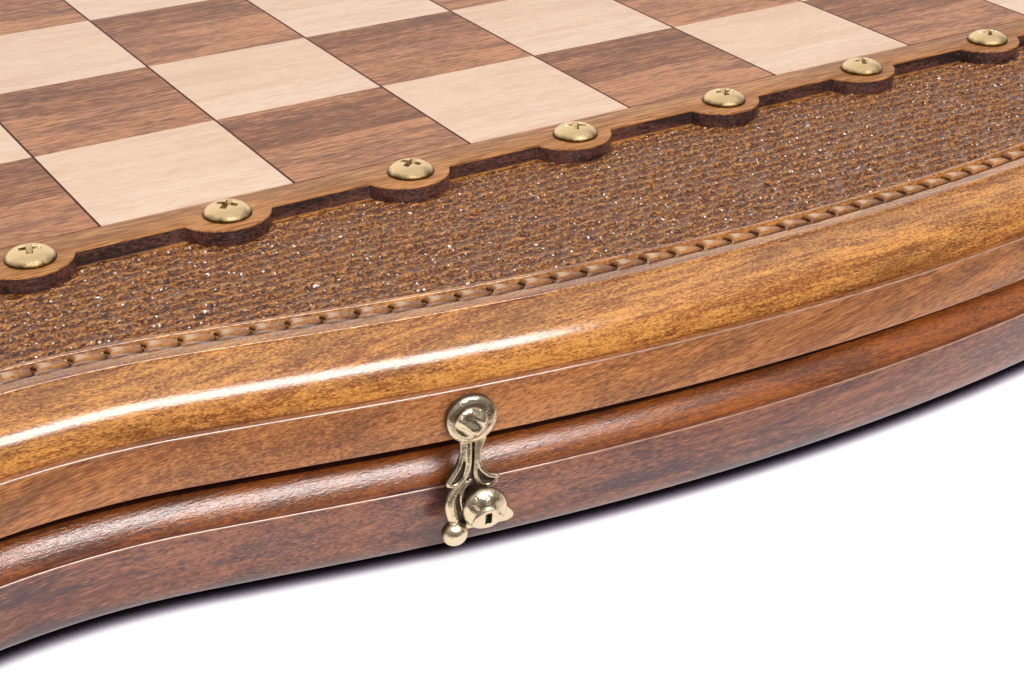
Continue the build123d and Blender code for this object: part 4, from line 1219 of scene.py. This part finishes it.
# Punched beech, stained and thinly lacquered: each bead shows a pale crest, which is a painted
# highlight, between two dark crescents.
for way in ("X", "Y"):
    finishes["rope", way] = darker_low_painted_highlight_high("punched beech beads " + way, way)
print(len(finishes), "finishes with the rope's")

# %% [markdown]
# ## Four ropes
# The tree works on a curve, so each side's line is made a curve for a moment. The result is one mesh
# of beads for each side.

# %% Ropes on the four sides
def poly_curve(name, spots):
    """Open curve through points given in metres."""
    data = bpy.data.curves.new(name, "CURVE")
    data.dimensions = "3D"
    spline = data.splines.new("POLY")
    spline.points.add(len(spots) - 1)
    for point, spot in zip(spline.points, spots):
        point.co = (*spot, 1.0)
    piece = bpy.data.objects.new(name, data)
    bpy.context.scene.collection.objects.link(piece)
    return piece


bead = bpy.data.objects.new("bead", bead_mesh(pitch))
for number, side in enumerate(sides):
    spots = quarter_turned(np.column_stack((line, np.zeros(len(line)))), number) * MM
    string = poly_curve("rope line", spots)
    use_tree(string, stringing, beads=beads, bead=bead, finish=finishes["rope", grain_way(number)])
    mesh = as_mesh(string, "rope_beads_" + side)
    new_piece(mesh.name, shade(mesh, 50), None, "lid", ["lid_border_" + side])
bpy.data.objects.remove(bead)
print("faces in one rope:", len(mesh.polygons))

# %% [markdown]
# ## The scalloped strip's outline
# A thin strip frames the squares and grows a round ear for each screw. Its outline is drawn once, for
# the front: a straight edge, and for each ear three arcs, which are a small hollow root, the ear and
# a second root. The roots are what a saw blade leaves, because it can't turn on the spot.

# %% Strip outline
def strip_outline(root=0.4):
    """Front strip's outline in millimetres, with round ears and small hollow roots."""
    inner, outer = half_field + 0.1, strip_out
    points = [(-inner, -inner), (-outer, -outer)]
    root_drop = outer + root
    root_out = sqrt((ear_radius + root) ** 2 - (root_drop - ear_out) ** 2)
    meeting = atan2(ear_out - root_drop, -root_out)
    for x in ear_places:
        turns = np.linspace(pi / 2, meeting + pi, 5)
        hollow = [(x - root_out + root * cos(a), -root_drop + root * sin(a)) for a in turns]
        turns = np.linspace(meeting + 2 * pi, pi - meeting, 25)
        ear = [(x + ear_radius * cos(a), -ear_out + ear_radius * sin(a)) for a in turns]
        points += hollow + ear[1:-1] + [(2 * x - px, py) for px, py in reversed(hollow)]
    return points + [(outer, -outer), (inner, -inner)]


outline = strip_outline()
print("corners of the outline:", len(outline))

# %% [markdown]
# ## Four strips
# The outline is filled, given its thickness and a fine chamfer along the top. The top was sanded
# clean, and the faces that stand upright take a second finish, nearly black, which paints the shade
# along the strip's edge.

# %% Strips
def strip_mesh(name, side, thickness=3.5, chamfer=0.35):
    """Strip of one side, with its top at the squares' height."""
    work = bmesh.new()
    flat = np.column_stack((outline, np.full(len(outline), lid_top)))
    top = work.faces.new([work.verts.new(corner) for corner in quarter_turned(flat, side) * MM])
    work.normal_update()
    if top.normal.z < 0:
        top.normal_flip()
    grown = bmesh.ops.extrude_face_region(work, geom=[top])
    lower = [v for v in grown["geom"] if isinstance(v, bmesh.types.BMVert)]
    bmesh.ops.translate(work, verts=lower, vec=(0, 0, -thickness * MM))
    bmesh.ops.recalc_face_normals(work, faces=work.faces)
    work.normal_update()
    for face in work.faces:
        face.material_index = 1 if abs(face.normal.z) < 0.5 else 0
    rim = [e for e in work.edges if all(v.co.z > (lid_top - 0.1) * MM for v in e.verts)]
    worn = {"offset": chamfer * MM, "segments": 2, "profile": 0.6, "affect": "EDGES", "material": 0}
    bmesh.ops.bevel(work, geom=rim, **worn)
    mesh = bpy.data.meshes.new(name)
    work.to_mesh(mesh)
    work.free()
    return shade(mesh, 30)


for number, side in enumerate(sides):
    mesh = strip_mesh("screwed_strip_" + side, number)
    mesh.materials.append(finishes["strip", grain_way(number)])
    # the second finish, on the upright faces, is painted shade along the strip's edge
    mesh.materials.append(finishes["burnt"])
    new_piece(mesh.name, mesh, None, "lid", ["scalloped_strip_" + side])
print("faces of a strip:", len(mesh.polygons))

# %% [markdown]
# ## A lathe
# A screw is a turned piece: its section is spun round an axis, with the tip of the section on the
# axis so that both poles are closed. Blender's Screw modifier does the same, but a few lines of
# bmesh keep the poles clean and leave no modifier behind.

# %% Lathe
def lathe(profile, count=40):
    """Closed solid from (radius, height) points in millimetres, from the axis back to the axis."""
    work = bmesh.new()
    turns = [2 * pi * k / count for k in range(count)]
    rings = []
    for radius, height in profile:
        around_axis = turns if radius else turns[:1]
        rings.append([work.verts.new((radius * cos(a), radius * sin(a), height)) for a in around_axis])
    for low, high in zip(rings, rings[1:]):
        for k in range(count):
            n = (k + 1) % count
            if len(low) == 1:
                work.faces.new((low[0], high[n], high[k]))
            elif len(high) == 1:
                work.faces.new((low[k], low[n], high[0]))
            else:
                work.faces.new((low[k], low[n], high[n], high[k]))
    bmesh.ops.recalc_face_normals(work, faces=work.faces)
    mesh = bpy.data.meshes.new("turned")
    work.to_mesh(mesh)
    work.free()
    return mesh


print("faces in a turned cone:", len(lathe([(0, 0), (2, 0), (0, 3)]).polygons))

# %% [markdown]
# ## A punch
# A recess is pressed into the turned head by a punch. Here it is the difference with a bar that
# narrows downwards, once for a dent and twice, crossed, for a screwdriver. Boolean works on objects,
# so the bars are objects for a moment, and both are gone when the cut is a plain mesh.

# %% Punch
def loose(name, mesh):
    """Working object for a mesh, on no body yet."""
    piece = bpy.data.objects.new(name, mesh)
    bpy.context.scene.collection.objects.link(piece)
    return piece


def slot_cutter(length, width, low, high, taper, turn):
    """Working object that cuts one slot, a bar along X that narrows towards its lower end."""
    corners = []
    for height, part in ((low, taper), (high, 1.0)):
        for sx, sy in ((-1, -1), (1, -1), (1, 1), (-1, 1)):
            x, y = sx * length / 2 * part, sy * width / 2 * (0.5 + part / 2)
            corners.append((x * cos(turn) - y * sin(turn), x * sin(turn) + y * cos(turn), height))
    faces = [(3, 2, 1, 0), (4, 5, 6, 7), (0, 1, 5, 4), (1, 2, 6, 5), (2, 3, 7, 6), (3, 0, 4, 7)]
    mesh = bpy.data.meshes.new("cutter")
    mesh.from_pydata(corners, [], faces)
    return loose("cutter", mesh)


def cut_away(piece, cutters):
    """Subtracts working objects from a working object and removes them."""
    for cutter in cutters:
        modifier = piece.modifiers.new("cut", "BOOLEAN")
        modifier.operation, modifier.solver, modifier.object = "DIFFERENCE", "EXACT", cutter
    mesh = as_mesh(piece, "cut")
    for cutter in cutters:
        bpy.data.objects.remove(cutter)
    return mesh


slot = {"length": 6.0, "width": 1.5, "low": 0.8, "high": 2.9, "taper": 0.4}
print("a screwdriver's slot in mm:", slot)

# %% [markdown]
# ## Brass screws
# One screw with a low domed head and a cross recess holds each ear. Its edges are worn a little, and
# that tiny bevel is where brass shines most, so it is put on after the recess is cut.

# %% One screw
head, height = 5.35, 2.5
shank = [(0, -9.5), (1.5, -9.2), (1.5, 0)]
rim = [(5.05, 0), (5.3, 0.08), (head, 0.3), (5.3, 0.5), (5.05, 0.85)]
dome = [(4.6, 1.35), (4.0, 1.8), (3.3, 2.12), (2.4, 2.36), (1.4, 2.47), (0, height)]
cross = [slot_cutter(turn=turn, **slot) for turn in (0, pi / 2)]
softened = loose("screw", cut_away(loose("screw", lathe(shank + rim + dome)), cross))
edge = softened.modifiers.new("worn edge", "BEVEL")
edge.width, edge.segments, edge.limit_method, edge.angle_limit = 0.1, 2, "ANGLE", radians(40)
screw_mesh = rub(as_mesh(softened, "screw"), 0.3, 1.5)
screw_mesh.transform(Matrix.Scale(MM, 4))
print("faces in a screw:", len(screw_mesh.polygons))

# %% [markdown]
# ## Thirty-two of them
# Geometry Nodes sets the finished screw on 32 points, each turned by its own random angle from a
# fixed seed, as nobody lines screws up. Nor are they all driven exactly in the middle of their ears:
# each place is off by up to a millimetre along the strip.

# %% Screws in their ears
sockets = [("Screw", OBJECT, None), ("Seed", INT, 4), ("Finish", FINISH, None)]
setting, given = group("set screws", sockets)
angle = {2: 0.0, 3: 2 * pi, "Seed": given["Seed"]}
angle = add(setting, "FunctionNodeRandomValue", angle, data_type="FLOAT").outputs[1]
spin = add(setting, "ShaderNodeCombineXYZ", {"Z": angle})
one = add(setting, "GeometryNodeObjectInfo", {"Object": given["Screw"]}).outputs["Geometry"]
spots = add(setting, "GeometryNodeMeshToPoints", {"Mesh": given["Geometry"]})
repeated = add(setting, "GeometryNodeInstanceOnPoints", {"Points": spots, "Instance": one, "Rotation": spin})
whole = add(setting, "GeometryNodeRealizeInstances", {0: repeated})
finished = add(setting, "GeometryNodeSetMaterial", {"Geometry": whole, "Material": given["Finish"]})
add(setting, "NodeGroupOutput", {"Geometry": finished})

screw_out = half_field + 8.2
off_centre = [1.0, 0.3, 0.9, 1.0, 0.7, 0.9, 0.8, 0.6]
row_of_ears = np.array([(x + off, -screw_out, lid_top) for x, off in zip(ear_places, off_centre)])
spots = np.vstack([quarter_turned(row_of_ears.copy(), side) for side in range(4)]) * MM
spot_mesh = bpy.data.meshes.new("screw places")
spot_mesh.from_pydata(spots, [], [])
screw = bpy.data.objects.new("screw", screw_mesh)
places = loose("screw places", spot_mesh)
use_tree(places, setting, screw=screw, seed=4, finish=finishes["screw brass"])
mesh = as_mesh(places, "round_head_screws")
bpy.data.objects.remove(screw)
new_piece(mesh.name, shade(mesh, 32), None, "lid", ["frame_screws"])
print("screws:", len(spots))

# %% [markdown]
# ## Casting in wax
# Each clasp is a small brass casting, and such a form has no flat faces to extrude. It is modelled as
# a founder's wax is: rolls of wax of changing thickness are laid beside each other on a plate, and a
# voxel remesh melts them into one skin, which is then smoothed a little. Everything is drawn in the
# clasp's own plane: X to the right, Y up and Z out of the box, with the pivot at the origin. A roll
# needs only a few points, because its line and its radius are both smoothed between them.

# %% Rolls of wax
def smooth_path(points, steps=6):
    """Rows of numbers run smoothly through the given rows."""
    rows = np.array(points, float)
    padded = np.vstack((2 * rows[0] - rows[1], rows, 2 * rows[-1] - rows[-2]))
    path = []
    for a, b, c, d in zip(padded, padded[1:], padded[2:], padded[3:]):
        straight, bent, twisted = c - a, 2 * a - 5 * b + 4 * c - d, 3 * b - a - 3 * c + d
        for t in np.arange(steps) / steps:
            path.append(0.5 * (2 * b + straight * t + bent * t**2 + twisted * t**3))
    return np.array(path + [rows[-1]])


def roll(work, points, count=14):
    """Roll of wax through (x, y, z, radius) rows, with rounded ends."""
    path = smooth_path(points)
    start, end = path[0].copy(), path[-1].copy()
    way = path[1, :3] - path[0, :3]
    start[:3] -= way / np.linalg.norm(way) * start[3] * 0.7
    way = path[-1, :3] - path[-2, :3]
    end[:3] += way / np.linalg.norm(way) * end[3] * 0.7
    start[3], end[3] = start[3] * 0.55, end[3] * 0.55
    path = np.vstack((start, path, end))
    ahead = np.gradient(path[:, :3], axis=0)
    rings = []
    for (x, y, z, radius), tangent in zip(path, ahead):
        tangent = Vector(tangent).normalized()
        side = tangent.cross((0, 0, 1)).normalized()
        lift = side.cross(tangent)
        turns = [2 * pi * k / count for k in range(count)]
        spokes = [side * (radius * cos(a)) + lift * (radius * sin(a)) for a in turns]
        rings.append([work.verts.new(Vector((x, y, z)) + spoke) for spoke in spokes])
    for low, high in zip(rings, rings[1:]):
        for k in range(count):
            work.faces.new((low[k], low[(k + 1) % count], high[(k + 1) % count], high[k]))
    work.faces.new(rings[0][::-1])
    work.faces.new(rings[-1])


print("points on a smooth path through three:", len(smooth_path([(0, 0), (1, 1), (2, 0)])))

# %% [markdown]
# ## Plates, and the melting
# The plate is a flat sheet of wax. Melting puts everything into one mesh, whose parts may run through
# each other, and takes the skin of it all in voxels of about an eighth of a millimetre. What lies
# against the box has to stay flat, so the smoothed skin is pushed back to that height.

# %% Plate and melt
def plate(work, outline, low, high):
    """Flat plate with the outline's (x, y) corners."""
    bottom = [work.verts.new((x, y, low)) for x, y in outline]
    top = [work.verts.new((x, y, high)) for x, y in outline]
    work.faces.new(bottom[::-1])
    work.faces.new(top)
    for k in range(len(outline)):
        n = (k + 1) % len(outline)
        work.faces.new((bottom[k], bottom[n], top[n], top[k]))


def melt(name, work, voxel, smooth, floor_z=None, extra=()):
    """One skin round everything in the bmesh and round the extra meshes, flat at floor_z."""
    for mesh in extra:
        work.from_mesh(mesh)
    bmesh.ops.recalc_face_normals(work, faces=work.faces)
    mesh = bpy.data.meshes.new(name)
    work.to_mesh(mesh)
    work.free()
    piece = loose(name, mesh)
    skin = piece.modifiers.new("skin", "REMESH")
    skin.mode, skin.voxel_size, skin.use_smooth_shade = "VOXEL", voxel, True
    polish = piece.modifiers.new("polish", "SMOOTH")
    polish.factor, polish.iterations = 0.5, smooth
    mesh = as_mesh(piece, name)
    if floor_z is not None:
        spots = np.zeros(len(mesh.vertices) * 3, np.float32)
        mesh.vertices.foreach_get("co", spots)
        spots[2::3] = np.maximum(spots[2::3], floor_z)
        mesh.vertices.foreach_set("co", spots)
        mesh.update()
    return mesh


fine_voxel, coarse_voxel = 0.12, 0.2
print("voxels from", fine_voxel, "to", coarse_voxel, "mm")

# %% [markdown]
# ## The hook
# A dished disc turns on the pivot screw. A fluted neck runs down from it and spreads into two leaf
# tips, and a scroll runs on to a ball, the thumb piece. Each leaf is two rolls with a hollow between
# them, and a thin web closes the back, as in a casting that was made in a one-sided mould. Six rolls
# in all, each through a few given points, are enough. A row is the place and the radius there.

# %% Hook
back = 0.4
leaf_web = [
    (-2.0, -3.6), (-2.2, -7.7), (-3.0, -10.1), (-4.4, -12.2), (-5.3, -13.4), (-4.0, -14.4),
    (-3.6, -15.4), (-4.8, -17.2), (-5.0, -19.4), (-4.6, -21.4), (-3.8, -23.4), (-1.4, -24.2),
    (-1.0, -21.6), (-1.7, -19.6), (-1.9, -17.6), (-0.9, -15.7), (1.4, -15.6), (3.4, -15.9),
    (4.9, -14.8), (3.2, -13.2), (2.0, -11.4), (1.5, -8.6), (2.2, -3.6),
]
left_leaf_outer = [
    (-1.9, -4.2, 1.5, 0.65), (-2.05, -7.6, 1.6, 0.6), (-2.9, -10.1, 1.8, 0.6), (-4.2, -12.0, 2.0, 0.6),
    (-5.3, -13.3, 2.2, 0.6),
]
left_leaf_inner = [
    (-0.75, -4.6, 1.5, 0.8), (-0.85, -8.0, 1.7, 0.8), (-1.0, -10.5, 1.75, 0.75), (-1.6, -12.6, 1.7, 0.7),
    (-2.9, -14.1, 1.6, 0.6), (-4.3, -14.3, 1.8, 0.5), (-5.3, -13.7, 2.1, 0.5),
]
right_leaf_outer = [
    (2.5, -4.4, 1.5, 0.65), (1.5, -7.4, 1.6, 0.5), (1.35, -9.6, 1.7, 0.5), (1.9, -11.6, 1.9, 0.55),
    (3.1, -13.1, 2.0, 0.6), (4.9, -13.8, 2.1, 0.6),
]
right_leaf_inner = [
    (1.0, -4.8, 1.4, 0.5), (0.8, -8.0, 1.6, 0.45), (0.65, -10.6, 1.6, 0.5), (0.8, -13.2, 1.5, 0.6),
    (1.9, -15.3, 1.4, 0.6), (3.5, -15.8, 1.5, 0.5), (4.9, -14.8, 1.9, 0.5),
]
scroll_outer = [
    (-1.2, -14.2, 1.3, 0.6), (-3.3, -15.3, 1.5, 0.95), (-4.5, -17.1, 1.7, 1.15), (-4.85, -19.2, 1.75, 1.25),
    (-4.4, -21.6, 1.7, 1.2), (-3.9, -23.3, 1.5, 1.0),
]
scroll_inner = [
    (-0.4, -13.8, 1.4, 0.55), (-1.7, -15.3, 1.6, 0.5), (-2.5, -17.4, 1.75, 0.5), (-2.2, -20.0, 1.75, 0.5),
    (-1.5, -22.2, 1.6, 0.5), (-1.3, -24.0, 1.4, 0.5),
]
disc_profile = [(0, back), (4.9, back), (5.2, 0.7), (5.25, 1.7), (5.1, 2.1), (4.6, 2.45), (3.9, 2.7)]
disc = lathe(disc_profile + [(3.0, 2.8), (0, 2.8)], 56)
ball = lathe([(2.72 * sin(a), 2.1 - 2.25 * cos(a)) for a in np.linspace(0, pi, 17)], 32)
ball.transform(Matrix.Translation((-4.15, -25.2, 0)))

hook = bmesh.new()
plate(hook, leaf_web, back, 1.1)
for points in (left_leaf_outer, left_leaf_inner, right_leaf_outer, right_leaf_inner):
    roll(hook, points)
for points in (scroll_outer, scroll_inner):
    roll(hook, points)
hook_mesh = melt("hook", hook, fine_voxel, 2, floor_z=back, extra=(disc, ball))
rub(hook_mesh, 1.0, 2.5)
print("faces in a hook:", len(hook_mesh.polygons))

# %% [markdown]
# ## Pivot screw, stud and keeper plate
# The pivot screw has a domed head, and the stud that the hook grips has a bigger one. Years of thumbs
# and knocks have dented both, so a few slow waves push their domes in and out, and the stud keeps a
# deep dent with a burr round it. Under the stud lies a small cast plate whose right tip shows. All are
# melted like the hook, which leaves the soft edges of a casting.

# %% Domes and plate
def worn_dome(radius, height, low, foot, post, wave, dents):
    """Domed head over a post that runs down to the foot; slow waves dent it."""
    rings = np.linspace(radians(90), 0, 12)[1:-1]
    rim = low + 0.3
    profile = [(0, foot), (post, foot), (post, low), (radius - 0.25, low), (radius, rim)]
    profile += [(radius * sin(a), rim + (height - 0.3) * cos(a)) for a in rings] + [(0, low + height)]
    mesh = lathe(profile, 44)
    for vertex in mesh.vertices:
        x, y, z = vertex.co
        if z > low + 0.2:
            slow = abs(sin(0.9 * x + 0.7 * y + wave))
            crossed = sin(1.1 * x + wave) * cos(0.9 * y - 2 * wave)
            quick = 0.4 * sin(2.3 * y + 1.4 * x * wave)
            vertex.co.z -= dents * (slow + crossed + quick)
    return mesh


stud_radius = 4.7


def on_dome(x, y, radius):
    """Row for a roll of wax that lies on the stud's dome."""
    return (x, y, 3.05 + 2.5 * sqrt(1 - (x * x + y * y) / stud_radius**2), radius)


pivot_head = worn_dome(radius=3.6, height=1.7, low=2.7, foot=-6.0, post=1.5, wave=1, dents=0.3)
pivot_mesh = melt("pivot", bmesh.new(), fine_voxel, 2, extra=[pivot_head])
stud_head = worn_dome(stud_radius, height=2.8, low=2.75, foot=-9.0, post=2.0, wave=2, dents=0.12)
dent = slot_cutter(length=3.0, width=1.4, low=3.0, high=6.5, taper=0.8, turn=pi / 2)
dent.location = (0.1, -1.5, 0)
stud_head = cut_away(loose("stud", stud_head), [dent])
burrs = bmesh.new()
left_burr = [(-3.0, -2.4, 0.35), (-2.3, -0.6, 0.42), (-1.1, 0.6, 0.45), (0.2, 1.0, 0.42)]
right_burr = [(0.2, 1.0, 0.42), (1.3, 0.7, 0.42), (1.7, -0.6, 0.4), (2.6, -1.3, 0.35)]
for burr in (left_burr, right_burr):
    roll(burrs, [on_dome(*row) for row in burr])
stud_mesh = melt("stud", burrs, 0.13, 3, extra=[stud_head])
keeper = bmesh.new()
keeper_outline = [(-5.4, -8.0), (7.0, -8.0), (8.0, -7.6), (8.4, -6.8), (8.1, -6.0)]
plate(keeper, keeper_outline + [(6.9, -4.4), (4.2, -1.6), (-3.6, -1.6), (-5.4, -6.0)], 0.0, 1.2)
keeper_mesh = melt("keeper", keeper, coarse_voxel, 4, floor_z=0.0)
for mesh, low, high in ((pivot_mesh, 2.5, 3.3), (stud_mesh, 2.7, 3.8), (keeper_mesh, 0.1, 0.9)):
    rub(mesh, low, high)
print("faces:", len(pivot_mesh.polygons), len(stud_mesh.polygons), len(keeper_mesh.polygons))

# %% [markdown]
# ## Both clasps in place
# The front bulges, so a clasp 91 mm from its middle is turned a little outwards. One matrix carries a
# clasp's plane there, and the same castings are used for both. The hooks ride on bodies of their own,
# the pivots stay on the lid, and studs and plates on the base, 3.5 mm further in.

# %% Clasps
clasp_out, pivot_height = 91.0, lid_bottom + 5.3
stud_x, stud_y = 1.95, -20.0


def clasp_matrix(x):
    """From a clasp's own millimetres to the box's metres, for the clasp at x."""
    turn = asin(x / bulge_radius)
    y = -(side_half - bulge_radius + sqrt(bulge_radius**2 - x * x))
    across, outwards = Vector((cos(turn), sin(turn), 0)), Vector((sin(turn), -cos(turn), 0))
    turned = Matrix((across, (0, 0, 1), outwards)).transposed().to_4x4()
    return Matrix.Scale(MM, 4) @ Matrix.Translation((x, y, pivot_height)) @ turned


for side, x in (("left", -clasp_out), ("right", clasp_out)):
    # the domes sit a little off the middle of what they hold, as cast holes do
    parts = (
        ("cast_hook_", hook_mesh, (0, 0, 0), "latch_" + side, "clasp_hook_"),
        ("cast_pivot_", pivot_mesh, (-0.45, -0.25, 0), "lid", "clasp_pivot_"),
        ("cast_stud_", stud_mesh, (stud_x, stud_y, 0), "base", "clasp_stud_"),
        ("cast_keeper_", keeper_mesh, (stud_x, stud_y, -skirt_inset), "base", "clasp_keeper_"),
    )
    for stem, source, place, body, node in parts:
        mesh = source.copy()
        mesh.transform(clasp_matrix(x) @ Matrix.Translation(place))
        mesh.update()
        new_piece(stem + side, mesh, finishes["cast brass"], body, [node + side])
print("clasps at", [round(v, 4) for v in clasp_matrix(clasp_out).translation])

# %% [markdown]
# ## Felt linings
# The trays and the lid are lined with felt, cut a little smaller than its opening and glued down
# flat. A cloth simulation would have nothing to do here: the sheet has body and can't move. So it is a
# closed slab one millimetre thick, and its soft side sinks by a few hundredths of a millimetre over
# the glue, which breaks up its flatness where light grazes it.

# %% Two cut sheets
def felt_sheet(name, half, glued, soft, cells=60):
    """Square felt sheet in millimetres, its glued side at one height and its soft side at another."""
    inwards = 1 if soft > glued else -1
    work = bmesh.new()
    bmesh.ops.create_grid(work, x_segments=cells, y_segments=cells, size=half)
    for vertex in work.verts:
        x, y = vertex.co.x, vertex.co.y
        from_edge = min(1.0, (half - max(abs(x), abs(y))) / 4)
        waves = sin(x / 19 + 1) * cos(y / 23) + 0.5 * sin((x + y) / 9)
        vertex.co.z = soft - inwards * abs(0.06 * from_edge * waves)
    lower = bmesh.ops.extrude_face_region(work, geom=work.faces[:])
    for vertex in [v for v in lower["geom"] if isinstance(v, bmesh.types.BMVert)]:
        vertex.co.z = glued
    bmesh.ops.recalc_face_normals(work, faces=work.faces)
    mesh = bpy.data.meshes.new(name)
    work.to_mesh(mesh)
    work.free()
    mesh.transform(Matrix.Scale(MM, 4))
    return shade(mesh, 50)


short, lip, thick, panel_top = 0.5, 8.0, 1.0, 4.0
tray_half, lid_half = opening_half - short, half_field - lip - short
for name, half, glued, soft, body, node, board in (
    ("tray_felt", tray_half, panel_top, panel_top + thick, "base", "base_lining", "bottom_panel"),
    ("lid_felt", lid_half, lip_top, lip_top - thick, "lid", "lid_lining", "lid_panel"),
):
    piece = new_piece(name, felt_sheet(name, half, glued, soft), finishes["felt"], body, [node])
    print(name, round(2 * half, 2), "mm square")

# %% [markdown]
# ## Finishes on the CAD's own parts
# Squares, inlay lines, panels, dividers and hinges are plain sawn or rolled pieces whose CAD solids
# are already exact, so they keep their meshes and only get their finish.

# %% Finishes of the CAD nodes
def dress(finish, *names):
    """Puts a finish on CAD nodes."""
    for name in names:
        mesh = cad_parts[name].data
        mesh.materials.clear()
        mesh.materials.append(finish)


dress(finishes["dark square"], "dark_squares")
dress(finishes["light square"], "light_squares")
dress(finishes["inlay"], "column_inlays")
dress(finishes["plywood"], "lid_panel", "bottom_panel")
dress(finishes["divider"], *["cross_divider_%d" % i for i in range(1, 6)])
dress(finishes["divider", "Y"], *["long_divider_%d" % i for i in range(1, 4)])
dress(finishes["hinge brass"], *[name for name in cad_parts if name.startswith("hinge_")])
dress(finishes["cast brass"], *[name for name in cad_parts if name.startswith("clasp_")])
print("dressed what is left of", len(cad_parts), "nodes")

# %% [markdown]
# ## The end
# The box round everything that is shown, apart from the floor, is printed in millimetres. It should
# agree with the CAD model's box to a fraction of a millimetre.

# %% Sizes and finish
low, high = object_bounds()
print("box", [round(v * 1000, 1) for v in (*low, *high)])
